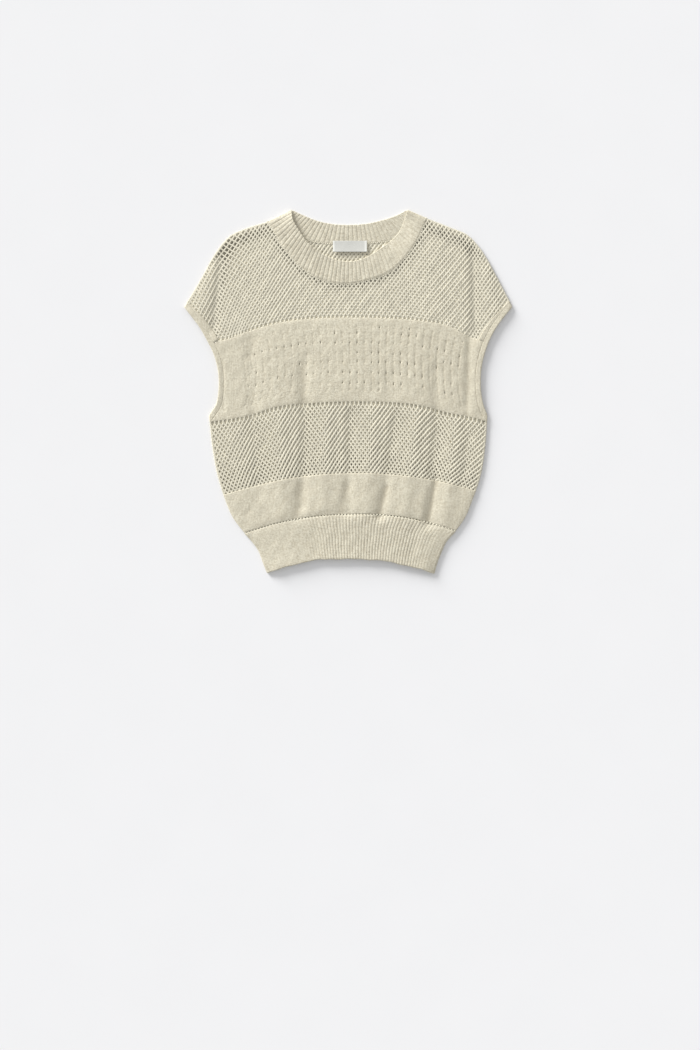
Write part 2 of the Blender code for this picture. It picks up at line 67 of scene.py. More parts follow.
ARMHOLE_BAND = 0.008        # width of the armhole bands
FOLD_RADIUS = 0.0026        # plan radius of a band where it folds from the front to the back
FOLD_STEPS = 7              # sections in such a fold between the two layers
UNDERARM_CLEAR = 0.001      # plan distance kept from the corner under the arm
NEAR_TIP = 0.93             # share of the shoulder's line from which its way at the tip is taken
PLAN_MIDDLE = np.array((0.0003, 0.0012))    # the middle of the garment's box in the tables' plan

NECK_RIBS_FRONT = 48
NECK_RIBS_BACK = 34
HEM_RIBS = 62
RIB_CELLS = 8               # columns of faces in one rib
HEM_RIB_CELLS = 6
HEM_BACK_CELLS = 2

WALE = 0.0018               # width of a column of plain stitches
COURSE = 0.0014             # height of a row of plain stitches
RIB_COURSE = 0.0026         # height of a stitch in the ribs

LABEL_CENTRE = (0.0032, 0.2311)
LABEL_SIZE = (0.0540, 0.0175)
LABEL_THICKNESS = 0.0010
LABEL_REST = 0.0040
LABEL_CURL = 0.0010         # how far the label's free lower edge stands off the cloth

SETTLINGS = 12              # rounds in which a course line settles on a side line
HALVINGS = 10               # rounds in which a strand's end is brought to the outline
SAME_PLACE = 0.0002         # points of a strand that are nearer than this count as one
NET_JITTER = 0.00018        # unevenness of the nets' crossings
TONE_JITTER = 0.025         # unevenness of the strands' tones
NET_SIDES = {"front": 8, "back": 6}         # faces round a strand
NET_GROOVE = 0.12           # depth of the groove between a strand's two plies
BACK_FLATTER = 0.88         # the back's strands are flatter than the front's by this share
NET_INSET = 0.0014          # how far the yoke's net is set in from the shoulder line
NET_MARGIN = 0.0016         # how far the waist's outer strands are set in from the sides
NET_LIFT = 0.0007           # height of the front's strands above the front's lower face
PULLED_LIFT = 0.0004        # how much higher they lie where the net is pulled open
FALL_LEAN = 1.25            # lean of the strands that fall to the right, as a share of the others'
BACK_LEAN = 0.3
# Painted shade: how far the back's net may be darkened where its holes are shaded.
MIN_SHADED_SHARE = 0.36             # the least share of its tone that the back's net keeps
FRONT_TONE = 0.96           # tone of the front's net
# Painted light: the back's strands are lightened to stand in for light reaching them through the front's
# holes.
BACK_PAINTED_LIGHT = 1.32            # tone of the back's net where it shows through the front's
BACK_DROP = 0.0035          # how much lower the back's yoke net starts than the front's
BACK_SPARE = 0.0030         # how far the back's nets reach under the chest band
BACK_REST = 0.00005         # height of the back's plain bands above the floor
FLOOR_CLEAR = 0.0001        # height of the back's strands above the floor
STUB = 0.0027               # length of the stubs between the yoke's net and the chest band
STUB_UNDER = 0.0004         # how far they reach under the band
WAIST_STUB = 0.0039         # length of the stubs between the chest band and the waist's net
WAIST_STUB_UNDER = 0.0012
STUB_RISE = np.array((0.0, 0.0002, 0.0005))     # how a stub climbs from its crossing to the band
STUB_WIDTH = 1.04           # width of a stub as a share of a strand's
YOKE_HALF = 0.280           # how far the yoke's net is knitted to each side, and up, before it is cut
YOKE_HEIGHT = 0.215
YOKE_LEVEL = 0.150          # beyond this, to the right, the yoke's rows run straight on
CAP_LEAN = 0.20             # how much the yoke's columns and rows lean on the caps
LEAN_HEIGHT = 0.150         # height at which the leaning columns keep their place
CAP_DROP = 0.03             # how much lower the yoke's rows run there than in the middle
YOKE_SPARE = 8              # rows of the yoke's net below the chest's top, which its outline cuts away
YOKE_START = 0.03           # height at which the waist's ways of lying give way to the yoke's
TROUGH_REACH = 0.010        # half width of the troughs along the caps
RIGHT_TROUGH = 0.1995       # where the right one runs
CORD_RADIUS = 0.0015        # half width of the cords along the shoulders and the sides
CORD_LIFT = 0.0009          # height of a front cord above the front's lower face

PANEL_ROUND = 0.0012        # radii of the plain bands' side edges and of their upper and lower edges
BAND_ROUND = 0.0010
LOWER_ROUND = 0.0006        # radius of the lower band's edge at the hem's seam
# Painted shade: the depth at which a hollow is darkened in full in the colour.
HOLLOW_SHADE_DEPTH = 0.0010             # depth at which a hollow is shaded in full
FINE_CELL = 0.0018          # faces of the front's plain bands and of the back's
COARSE_CELL = 0.0036
LOWER_WIDTH = 0.36          # widths of the plain bands, as their columns of faces are counted
CHEST_WIDTH = 0.42
HEM_SEAM_SPARE = 0.0004     # room for the hem's stitches, above and below the seam
CAP_STRIP = 0.0065          # width of the plain strip along a cap where it starts
CAP_STRIP_TIP = 0.0004      # width at its upper end
STRIP_UNDER = 0.0030        # how far its lower end reaches under the chest band
STRIP_LAP = 0.0012          # how far its inner edge reaches over the net
STRIP_FACES = (0.007, 0.0012, 0.0, 0.0009)  # its width, its faces' size and its edges' radii

NECK_WIDTH = 0.040          # depth of the neckband as its rows of faces are counted
NECK_CELL = 0.00115         # rows of faces in the neckband, the hem's rib and the armhole bands
HEM_CELL = 0.0021
ARMHOLE_CELL = 0.0009
NECK_STITCH_HEIGHT = 0.00012                # relief of a stitch in the ribs
HEM_STITCH_HEIGHT = 0.00008
NECK_CURL = 0.0030          # how far the free edges stand up
HEM_CURL = 0.0024
ARMHOLE_CURL = 0.0008
NECK_ROUND = (0.0004, 0.0004)               # radii of a band's free edge and of its seam edge
HEM_ROUND = (0.0016, 0.0006)
ARMHOLE_ROUND = (0.0016, 0.0003)
ARMHOLE_WALES = 90          # columns of stitches round half an armhole band
ARMHOLE_SECTIONS = (110, 60)                # sections of an armhole band in the front and in the back
ARMHOLE_LAP = 0.0003        # how far it reaches over its seam
LABEL_CELLS = (0.0013, 0.0010)              # faces of the label across and up
LABEL_ROUND = 0.0005        # radius of its edges
LABEL_FLAP = 0.0034         # width of the ends that are turned under
LABEL_TAPE = 0.0005         # how much thicker they are

SEAM_POINTS = 160           # points along a seam's line
HEM_STITCH_PITCH = 0.0050
HEM_STITCH = (0.0036, 0.0030, 0.0018)       # length, width and height of a stitch in the hem's seam
NECK_STITCH = (0.0021, 0.0010)              # width and height of a stitch in the neck's front seam
BACK_STITCH = (0.0017, 0.0010)
NECK_STITCH_SLANT = 0.45
NECK_STITCH_SINK = 0.0007   # how deep the stitches lie below the cloth's upper face
HEM_STITCH_SINK = 0.0009

EYELET_COLUMNS = 35         # columns of eyelets across the chest band; the outer ones stay closed
EYELET_CELLS = 8            # columns of faces from one eyelet column to the next
EYELET_LENGTH = 2           # rows of faces in an eyelet
EYELET_DENT = 0.0003        # how deep the cloth is drawn in at an eyelet
LADDER_DEPTH = 0.00020      # depth of the ladders on the left
LADDER_GAIN = 0.00026       # how much deeper they are on the right
LADDER = ((0, 1.0), (1, 1.0), (-1, 0.25), (2, 0.25))    # columns of faces in a ladder, and their depth
CHEST_ROWS = 96             # rows of faces in the chest band

MAP_STEP = 0.00125          # grid on which the front's height is worked out once
MAP_LOW = np.array((-0.2750, -0.3300))
MAP_HIGH = np.array((0.2750, 0.3000))

CAMERA_PLACE = (0.0029, -0.2110, 4.0)
CAMERA_LENS = 86.6
CAMERA_SENSOR = 36.0
FLOOR_RADIUS = 7.0
SKY_COLOUR = (0.99, 0.99, 0.975, 1.0)
SKY_STRENGTH = 0.648
SUN_COLOUR = (1.0, 0.99, 0.97)
SUN_STRENGTH = 4.9
SUN_SPREAD = 0.45           # how wide the light is, as an angle
SUN_TOWARDS = (0.58, -0.65, -0.262)

BOTH_SIDES = ("left", "right")
INWARD = {"left": 1.0, "right": -1.0}       # the way to the garment's middle from either side
WELL_INSIDE = np.array((0.0, 0.05))         # a point that every outline runs round

# Half outlines of the body: the side lines from the hem's corners up to the underarms.
Side = namedtuple("Side", "height left right")
SIDES = (
    Side(-0.2864, -0.1279, 0.1368),
    Side(-0.2677, -0.1353, 0.1423),
    Side(-0.2490, -0.1428, 0.1498),
    Side(-0.2350, -0.1530, 0.1568),
    Side(-0.2210, -0.1655, 0.1695),
    Side(-0.2000, -0.1812, 0.1845),
    Side(-0.1706, -0.1941, 0.1968),
    Side(-0.1314, -0.2063, 0.2100),
    Side(-0.0866, -0.2146, 0.2170),
    Side(-0.0361, -0.2203, 0.2208),
)

# Armhole edges, from the underarms up to the tips of the caps.
ARMHOLES = (
    Side(-0.0361, -0.2203, 0.2208),
    Side(-0.0200, -0.2094, 0.2144),
    Side(0.0000, -0.2052, 0.2108),
    Side(0.0210, -0.2045, 0.2100),
    Side(0.0400, -0.2068, 0.2115),
    Side(0.0600, -0.2125, 0.2160),
    Side(0.0850, -0.2246, 0.2252),
    Side(0.1050, -0.2363, 0.2365),
    Side(0.1200, -0.2476, 0.2476),
    Side(0.1354, -0.2596, 0.2602),
)

# Shoulder lines, from the neck points out to the tips of the caps.
Shoulder = namedtuple("Shoulder", "left_x left_y right_x right_y")
SHOULDERS = (
    Shoulder(-0.0893, 0.2891, 0.0942, 0.2891),
    Shoulder(-0.1265, 0.2706, 0.1243, 0.2758),
    Shoulder(-0.1630, 0.2588, 0.1600, 0.2617),
    Shoulder(-0.1860, 0.2480, 0.1900, 0.2485),
    Shoulder(-0.2026, 0.2303, 0.2074, 0.2303),
    Shoulder(-0.2153, 0.2113, 0.2200, 0.2113),
    Shoulder(-0.2280, 0.1880, 0.2335, 0.1865),
    Shoulder(-0.2440, 0.1600, 0.2475, 0.1600),
    Shoulder(-0.2596, 0.1354, 0.2602, 0.1354),
)

# Neckband: its free edge and its seam, from the left neck point to the right one.
Neck = namedtuple("Neck", "edge_x edge_y seam_x seam_y")
NECK_FRONT = (
    Neck(-0.0893, 0.2891, -0.1265, 0.2706),
    Neck(-0.0870, 0.2735, -0.1150, 0.2500),
    Neck(-0.0790, 0.2590, -0.1030, 0.2290),
    Neck(-0.0660, 0.2395, -0.0850, 0.2085),
    Neck(-0.0450, 0.2222, -0.0580, 0.1850),
    Neck(-0.0220, 0.2110, -0.0280, 0.1735),
    Neck(0.0020, 0.2069, 0.0020, 0.1713),
    Neck(0.0260, 0.2125, 0.0320, 0.1772),
    Neck(0.0480, 0.2260, 0.0610, 0.1870),
    Neck(0.0680, 0.2405, 0.0870, 0.2085),
    Neck(0.0810, 0.2545, 0.1050, 0.2325),
    Neck(0.0885, 0.2720, 0.1165, 0.2550),
    Neck(0.0942, 0.2891, 0.1243, 0.2758),
)
NECK_BACK = (
    Neck(-0.0893, 0.2891, -0.1265, 0.2706),
    Neck(-0.0700, 0.2800, -0.1000, 0.2520),
    Neck(-0.0480, 0.2715, -0.0680, 0.2412),
    Neck(-0.0250, 0.2665, -0.0340, 0.2355),
    Neck(0.0020, 0.2652, 0.0020, 0.2344),
    Neck(0.0280, 0.2668, 0.0340, 0.2362),
    Neck(0.0520, 0.2720, 0.0690, 0.2408),
    Neck(0.0740, 0.2790, 0.1010, 0.2530),
    Neck(0.0942, 0.2891, 0.1243, 0.2758),
)

# Slight waves of hand-laid knit: turns across and up for each metre, times two pi.
Wave = namedtuple("Wave", "across up phase strength")
PUCKERS = (
    Wave(210, 95, 0.4, 1.0),
    Wave(-130, 240, 1.9, 1.0),
    Wave(330, -170, 4.1, 1.0),
    Wave(480, 410, 2.7, 0.7),
)
PUCKER_HEIGHT = 0.00007

# Heights of the knitted courses that part the bands, at stations across the body.
Station = namedtuple("Station", "across hem_edge hem_seam lower_top chest_bottom chest_top")
STATIONS = (
    Station(-0.225, -0.3160, -0.2450, -0.1720, -0.0478, 0.0820),
    Station(-0.195, -0.3060, -0.2330, -0.1614, -0.0440, 0.0835),
    Station(-0.160, -0.2960, -0.2215, -0.1515, -0.0380, 0.0958),
    Station(-0.110, -0.2803, -0.2068, -0.1393, -0.0230, 0.1102),
    Station(-0.055, -0.2662, -0.1970, -0.1310, -0.0174, 0.1167),
    Station(0.000, -0.2640, -0.1932, -0.1279, -0.0152, 0.1184),
    Station(0.055, -0.2668, -0.1942, -0.1289, -0.0159, 0.1175),
    Station(0.110, -0.2790, -0.2020, -0.1348, -0.0205, 0.1139),
    Station(0.160, -0.2940, -0.2160, -0.1443, -0.0332, 0.1046),
    Station(0.195, -0.3050, -0.2290, -0.1534, -0.0400, 0.0865),
    Station(0.225, -0.3150, -0.2410, -0.1630, -0.0478, 0.0810),
)

# Folds of the front: a soft ridge or trough along the line from its start to its end.
Fold = namedtuple("Fold", "place start_x start_y end_x end_y half_width height")
FOLDS = (
    Fold("left cap trough", -0.196, 0.228, -0.216, 0.096, 0.009, -0.0015),
    Fold("left cap ridge", -0.221, 0.196, -0.236, 0.128, 0.010, 0.0008),
    Fold("left yoke swell", -0.125, 0.200, -0.135, 0.130, 0.030, 0.0008),
    Fold("right yoke swell", 0.130, 0.205, 0.125, 0.135, 0.030, 0.0008),
    Fold("right cap trough", 0.199, 0.226, 0.200, 0.090, 0.009, -0.0016),
    Fold("right armhole trough", 0.196, 0.085, 0.187, -0.020, 0.009, -0.0012),
    Fold("right armhole ridge", 0.204, 0.070, 0.205, -0.025, 0.007, 0.0010),
    Fold("left chest trough", -0.151, 0.080, -0.150, -0.030, 0.012, -0.0009),
    Fold("left chest swell", -0.112, 0.075, -0.112, -0.010, 0.020, 0.0008),
    Fold("middle chest trough", -0.068, 0.055, -0.069, -0.020, 0.011, -0.0010),
    Fold("middle chest swell", 0.000, 0.080, 0.000, 0.010, 0.030, 0.0005),
    Fold("right chest trough", 0.069, 0.025, 0.072, -0.025, 0.011, -0.0007),
    Fold("right chest swell", 0.110, 0.080, 0.106, -0.005, 0.022, 0.0008),
    Fold("right side chest trough", 0.140, 0.030, 0.142, -0.025, 0.010, -0.0008),
    Fold("left side swell", -0.190, -0.070, -0.172, -0.165, 0.014, 0.0006),
    Fold("left waist trough", -0.150, -0.050, -0.141, -0.160, 0.011, -0.0011),
    Fold("left waist ridge", -0.110, -0.045, -0.104, -0.195, 0.015, 0.0014),
    Fold("first waist trough", -0.068, -0.020, -0.074, -0.180, 0.009, -0.0020),
    Fold("first waist ridge", -0.034, -0.030, -0.040, -0.182, 0.012, 0.0013),
    Fold("second waist trough", 0.002, -0.030, 0.001, -0.188, 0.008, -0.0017),
    Fold("second waist ridge", 0.038, -0.030, 0.029, -0.187, 0.012, 0.0012),
    Fold("third waist trough", 0.074, -0.040, 0.052, -0.196, 0.009, -0.0017),
    Fold("third waist ridge", 0.108, -0.035, 0.090, -0.192, 0.012, 0.0014),
    Fold("fourth waist trough", 0.143, -0.035, 0.126, -0.208, 0.010, -0.0023),
    Fold("right waist ridge", 0.170, -0.050, 0.154, -0.190, 0.011, 0.0012),
    Fold("right side trough", 0.190, -0.070, 0.178, -0.165, 0.008, -0.0008),
    Fold("left hem swell", -0.085, -0.222, -0.078, -0.262, 0.012, 0.0006),
    Fold("left hem trough", -0.050, -0.205, -0.052, -0.262, 0.010, -0.0006),
    Fold("right hem trough", 0.108, -0.208, 0.098, -0.268, 0.010, -0.0008),
)
HEM_SEAM_DIP = 0.0008       # the body sinks to its seam with the rib, over this reach
HEM_SEAM_REACH = 0.006

# Finer creases of the front's cloth, in the same way.
CREASES = (
    Fold("first lower crease", -0.071, -0.150, -0.082, -0.196, 0.010, -0.0011),
    Fold("second lower crease", -0.003, -0.150, -0.011, -0.190, 0.007, -0.0011),
    Fold("third lower crease", 0.061, -0.152, 0.048, -0.196, 0.006, -0.0015),
    Fold("fourth lower crease", 0.1395, -0.138, 0.1255, -0.205, 0.0052, -0.0016),
    Fold("fourth lower lip", 0.1275, -0.150, 0.1135, -0.198, 0.007, 0.0007),
    Fold("fourth lower fall", 0.1480, -0.144, 0.134, -0.206, 0.012, -0.0012),
    Fold("left chest crease", -0.070, 0.042, -0.071, -0.016, 0.008, -0.0011),
    Fold("left side wrinkle", -0.165, 0.056, -0.160, 0.018, 0.002, -0.0005),
    Fold("left second wrinkle", -0.155, 0.059, -0.150, 0.037, 0.002, -0.0005),
    Fold("left low crease", -0.152, -0.004, -0.150, -0.036, 0.008, -0.0007),
    Fold("middle chest crease", 0.063, 0.028, 0.064, -0.008, 0.006, -0.0005),
    Fold("right chest crease", 0.138, 0.042, 0.137, -0.028, 0.006, -0.0007),
    Fold("left armhole groove", -0.198, 0.051, -0.196, -0.029, 0.003, -0.0005),
    Fold("right armhole crease", 0.191, 0.096, 0.188, -0.034, 0.005, -0.0010),
    Fold("left side crease", -0.154, 0.092, -0.154, 0.058, 0.009, -0.0007),
    Fold("left corner crease", -0.155, -0.186, -0.163, -0.194, 0.004, -0.0006),
    Fold("left cap crease", -0.203, 0.215, -0.212, 0.100, 0.005, -0.0006),
    Fold("right cap crease", 0.197, 0.222, 0.201, 0.100, 0.005, -0.0007),
    Fold("right cap swell", 0.221, 0.195, 0.236, 0.130, 0.010, 0.0006),
)

# Painted shade: only creases narrower than this have their groove darkened in the colour.
WIDE_FALL = 0.0115          # creases at least this wide fall too gently for a darker groove
CREST = 0.0013              # height at which a ridge counts as full

# Rows of eyelets in the chest band: the place between its bottom (3) and its top (4), and what share
# of the eyelets is open on the left and on the right half.
Eyelets = namedtuple("Eyelets", "place left right")
EYELET_ROWS = (
    Eyelets(3.144, 0.00, 0.08),
    Eyelets(3.226, 0.00, 0.40),
    Eyelets(3.345, 0.85, 0.65),
    Eyelets(3.475, 0.25, 0.60),
    Eyelets(3.580, 0.25, 0.65),
    Eyelets(3.700, 0.90, 0.80),
    Eyelets(3.807, 0.00, 0.30),
    Eyelets(3.890, 0.00, 0.10),
)


# ---------------------------------------------------------------- what a user may change
class KnitSizes(bpy.types.PropertyGroup):
    """Sizes of the yarns and of the relief."""

    net_pitch: FloatProperty(
        name="Net pitch", description="Distance across from one hole of the net to the next",
        default=0.00665, unit="LENGTH")
    net_row: FloatProperty(
        name="Net row", description="Height of one row of the net", default=0.0046, unit="LENGTH")
    net_yarn: FloatProperty(
        name="Net yarn", description="Half the width of a strand of the net", default=0.00166,
        unit="LENGTH")
    back_yarn: FloatProperty(
        name="Back yarn", description="Half the width of a strand of the back's net", default=0.00235,
        unit="LENGTH")
    net_flatness: FloatProperty(
        name="Net flatness", description="Height of a strand as a share of its width", default=0.50)
    net_relief: FloatProperty(
        name="Net relief", description="How far the upper strands stand over the lower ones",
        default=0.0003, unit="LENGTH")
    neck_rib: FloatProperty(
        name="Neck rib", description="Height of the neckband's ribs", default=0.0005, unit="LENGTH")
    hem_rib: FloatProperty(
        name="Hem rib", description="Height of the hem's ribs", default=0.0006, unit="LENGTH")
    stitch_pitch: FloatProperty(
        name="Seam stitch", description="Length of a linking stitch along the neck's seam",
        default=0.0033, unit="LENGTH")
    seed: IntProperty(name="Seed", description="Start of all irregular measures", default=7)


class KnitColours(bpy.types.PropertyGroup):
    """Colours of the yarn, of its painted shade, of the label and of the floor."""

    cream: FloatVectorProperty(
        name="Cream", description="Colour of the cotton yarn", subtype="COLOR", size=3,
        default=(0.742, 0.704, 0.581))
    # Painted shade: this colour stands in for the shade deep between the stitches, in hollows, sharp
    # creases and rib grooves; it also darkens the yarn's random grain.
    shade: FloatVectorProperty(
        name="Shade", description="Colour of the yarn deep between the stitches", subtype="COLOR",
        size=3, default=(0.450, 0.400, 0.300))
    label: FloatVectorProperty(
        name="Label", description="Colour of the woven label", subtype="COLOR", size=3,
        default=(0.640, 0.642, 0.612))
    floor: FloatVectorProperty(
        name="Floor", description="Colour of the floor", subtype="COLOR", size=3,
        default=(0.822, 0.826, 0.851))


# ---------------------------------------------------------------- curves
def through(knots, values, where):
    """Smooth curve through the values given at rising knots, read at the places asked for."""
    knots = np.asarray(knots, float)
    values = np.asarray(values, float)
    slopes = np.gradient(values, knots, axis=0)
    where = np.clip(np.asarray(where, float), knots[0], knots[-1])
    cell = np.clip(np.searchsorted(knots, where, side="right") - 1, 0, len(knots) - 2)
    step = knots[cell + 1] - knots[cell]
    t = (where - knots[cell]) / step
    if values.ndim == 2:
        t = t[..., None]
        step = step[..., None]
    start = (2 * t**3 - 3 * t**2 + 1) * values[cell] + (t**3 - 2 * t**2 + t) * step * slopes[cell]
    end = (3 * t**2 - 2 * t**3) * values[cell + 1] + (t**3 - t**2) * step * slopes[cell + 1]
    return start + end


def run_lengths(line):
    """How far along a line each of its points lies."""
    return np.concatenate(([0.0], np.cumsum(np.linalg.norm(np.diff(line, axis=0), axis=1))))


def along(rows, fractions):
    """Points of the smooth curve through the rows of a table, at fractions of its length."""
    rows = np.asarray(rows, float)
    knots = run_lengths(rows)
    return through(knots, rows, np.asarray(fractions) * knots[-1])


def neck_line(table, count, seam=False):
    """The neckband's free edge or its seam, from the left neck point to the right one."""
    line = along(table, np.linspace(0.0, 1.0, count))
    return line[:, 2:] if seam else line[:, :2]


def unit(vectors):
    """The same directions with a length of one."""
    return vectors / np.linalg.norm(vectors, axis=-1, keepdims=True)


def smooth_step(value):
    """Rises from 0 to 1 without a corner."""
    t = np.clip(value, 0.0, 1.0)
    return t * t * (3 - 2 * t)


def from_ends(shares, reach):
    """Rises from 0 at both ends of a line of shares to 1 within a reach."""
    return smooth_step(np.minimum(shares, 1 - shares) / reach)


def distance_to(line, points):
    """Plan distance from each point to a line of plan points."""
    nearest = np.full(points.shape[:-1], np.inf)
    for start, end in zip(line[:-1], line[1:]):
        step = end - start
        offset = points - start
        share = np.clip((offset @ step) / (step @ step), 0.0, 1.0)
        away = offset - share[..., None] * step
        nearest = np.minimum(nearest, (away * away).sum(-1))
    return np.sqrt(nearest)


def points_at(line, lengths, places):
    """Plan points of a line at some distances along it."""
    return np.stack([np.interp(places, lengths, line[:, k]) for k in (0, 1)], axis=-1)


def evenly(line, count):
    """Points at even distances along a line of plan points."""
    lengths = run_lengths(line)
    return points_at(line, lengths, np.linspace(0.0, lengths[-1], count))


# ---------------------------------------------------------------- outline
def column(table, name):
    """One named column of a table."""
    return np.array([getattr(row, name) for row in table])


def half_outline(table, side, count):
    """One side's line through a table of half outlines, from its lowest point up."""
    heights = np.linspace(table[0].height, table[-1].height, count)
    across = through(column(table, "height"), column(table, side), heights)
    return np.stack((across, heights), axis=-1)


def side_line(side, count=40):
    """The body's side line from the hem's corner up to the underarm."""
    return half_outline(SIDES, side, count)


def armhole_edge(side, count=33):
    """The armhole's edge from the underarm up to the tip of the cap."""
    return half_outline(ARMHOLES, side, count)


def shoulder_line(side, fractions):
    """The shoulder's line from the neck point out to the tip of the cap."""
    rows = np.stack((column(SHOULDERS, side + "_x"), column(SHOULDERS, side + "_y")), axis=-1)
    return along(rows, fractions)


def armhole_seam(side, count=33):
    """The line where the armhole band meets the panels, ending on the side and shoulder lines."""
    edge = armhole_edge(side, count)
    tangent = unit(np.gradient(edge, axis=0))
    normal = INWARD[side] * np.stack((tangent[:, 1], -tangent[:, 0]), axis=-1)
    down_side = unit(side_line(side)[-3] - side_line(side)[-1])
    up_shoulder = unit(shoulder_line(side, NEAR_TIP) - shoulder_line(side, 1.0))
    away = [np.linalg.norm(edge - end, axis=-1) / (3 * ARMHOLE_BAND) for end in (edge[0], edge[-1])]
    near_underarm, near_tip = [(1.0 - smooth_step(share))[:, None] for share in away]
    direction = normal * (1 - near_underarm) * (1 - near_tip)
    direction = unit(direction + down_side * near_underarm + up_shoulder * near_tip)
    stretch = 1.0 / np.maximum((direction * normal).sum(-1), 0.6)
    return edge + ARMHOLE_BAND * stretch[:, None] * direction


def shoulder_share(side):
    """Fractions of the shoulder's line at the neckband's seam and at the armhole band's seam."""
    samples = np.linspace(0.0, 1.0, 401)
    line = shoulder_line(side, samples)
    neck = np.array((getattr(SHOULDERS[1], side + "_x"), getattr(SHOULDERS[1], side + "_y")))
    cap = armhole_seam(side)[-1]
    return tuple(samples[np.linalg.norm(line - end, axis=-1).argmin()] for end in (neck, cap))


def panel_edge(side):
    """A panel's outer edge from the hem's corner to the shoulder: side line, then armhole seam."""
    seam = armhole_seam(side)
    line = side_line(side, 120)
    line = line[line[:, 1] < seam[0, 1] - UNDERARM_CLEAR]
    return np.concatenate((line, seam))


PANEL_EDGES = {side: panel_edge(side) for side in BOTH_SIDES}
COURSES = ("hem_edge", "hem_seam", "lower_top", "chest_bottom", "chest_top")


def course(place, across):
    """Height of a course line at a place, from 0 at the first of the courses to 4 at the last."""
    lower = min(int(place), len(COURSES) - 2)
    share = place - lower
    stations = column(STATIONS, "across")
    low, high = [through(stations, column(STATIONS, name), across) for name in COURSES[lower:lower + 2]]
    return low * (1 - share) + high * share


def band_height(place):
    """Height of the band above a course, on the garment's middle line."""
    return course(place + 1.0, 0.0) - course(place, 0.0)


def course_row(place, fractions):
    """Plan points of a course line from the left edge to the right edge."""
    ends = []
    for line in PANEL_EDGES.values():
        height = course(place, 0.0)
        for _ in range(SETTLINGS):
            across = np.interp(height, line[:, 1], line[:, 0])
            height = 0.5 * (height + course(place, across))
        ends.append(across)
    across = ends[0] + (ends[1] - ends[0]) * np.asarray(fractions)
    return np.stack((across, course(place, across)), axis=-1)


def band_plan(places, fractions):
    """Plan grid of a band: a row of points for each course."""
    return np.stack([course_row(place, fractions) for place in places])


# ---------------------------------------------------------------- heights
def outline_lines():
    """The lines of the closed edges and those of the open edges, in plan."""
    closed = []
    opened = []
    for side in BOTH_SIDES:
        closed.append(side_line(side))
        closed.append(shoulder_line(side, np.linspace(0.0, 1.0, 40)))
        opened.append(armhole_edge(side))
    opened.append(course_row(0.0, np.linspace(0.0, 1.0, 30)))
    opened.append(neck_line(NECK_FRONT, 40))
    return closed, opened


def rise_of(folds, points):
    """Sum of the folds of a table at plan points."""
    total = np.zeros(points.shape[:-1])
    for fold in folds:
        line = np.array(((fold.start_x, fold.start_y), (fold.end_x, fold.end_y)))
        total += fold.height * np.exp(-((distance_to(line, points) / fold.half_width) ** 2))
    return total


def fold_height(points):
    """The folds at plan points, with the dip along the hem's seam."""
    total = rise_of(FOLDS, points)
    dip = (points[..., 1] - course(1.0, points[..., 0])) / HEM_SEAM_REACH
    return total - HEM_SEAM_DIP * np.exp(-(dip**2))


def height_map():
    """Height of the front's lower face on a plain grid over the whole garment."""
    counts = np.ceil((MAP_HIGH - MAP_LOW) / MAP_STEP).astype(int) + 1
    across = MAP_LOW[0] + MAP_STEP * np.arange(counts[0])
    heights = MAP_LOW[1] + MAP_STEP * np.arange(counts[1])
    points = np.stack(np.meshgrid(across, heights, indexing="ij"), axis=-1)
    closed, opened = [np.min([distance_to(line, points) for line in lines], axis=0)
                      for lines in outline_lines()]
    rise = 1.0 - np.exp(-closed / CROWN_REACH)
    lift = (CROWN + fold_height(points)) * rise * (1.0 - OPEN_DROP * np.exp(-opened / OPEN_REACH))
    return CLOTH + LAYER_GAP + np.clip(lift, 0.0, MAX_LIFT)


HEIGHT_MAP = height_map()


def front_under(points):
    """Height of the front's lower face at plan points, read from the grid."""
    place = (points - MAP_LOW) / MAP_STEP
    cell = np.clip(place.astype(int), 0, np.array(HEIGHT_MAP.shape) - 2)
    share = np.clip(place - cell, 0.0, 1.0)
    i, j = cell[..., 0], cell[..., 1]
    s, t = share[..., 0], share[..., 1]
    low = HEIGHT_MAP[i, j] * (1 - s) + HEIGHT_MAP[i + 1, j] * s
    high = HEIGHT_MAP[i, j + 1] * (1 - s) + HEIGHT_MAP[i + 1, j + 1] * s
    return low * (1 - t) + high * t


def puckers(points):
    """Slight unevenness of hand-laid knit, with its creases."""
    x, y = points[..., 0], points[..., 1]
    waves = sum(wave.strength * np.sin(wave.across * x + wave.up * y + wave.phase) for wave in PUCKERS)
    return PUCKER_HEIGHT * waves + rise_of(CREASES, points)


def in_yoke(points):
    """0 in the waist and the lower chest, rising to 1 in the yoke."""
    return smooth_step((points[..., 1] - YOKE_START) / YOKE_START)


def raised(points, heights):
    """Plan points with their heights, measured from the middle of the garment's box."""
    heights = np.broadcast_to(heights, points.shape[:-1])[..., None]
    return np.concatenate((points - PLAN_MIDDLE, heights), axis=-1)


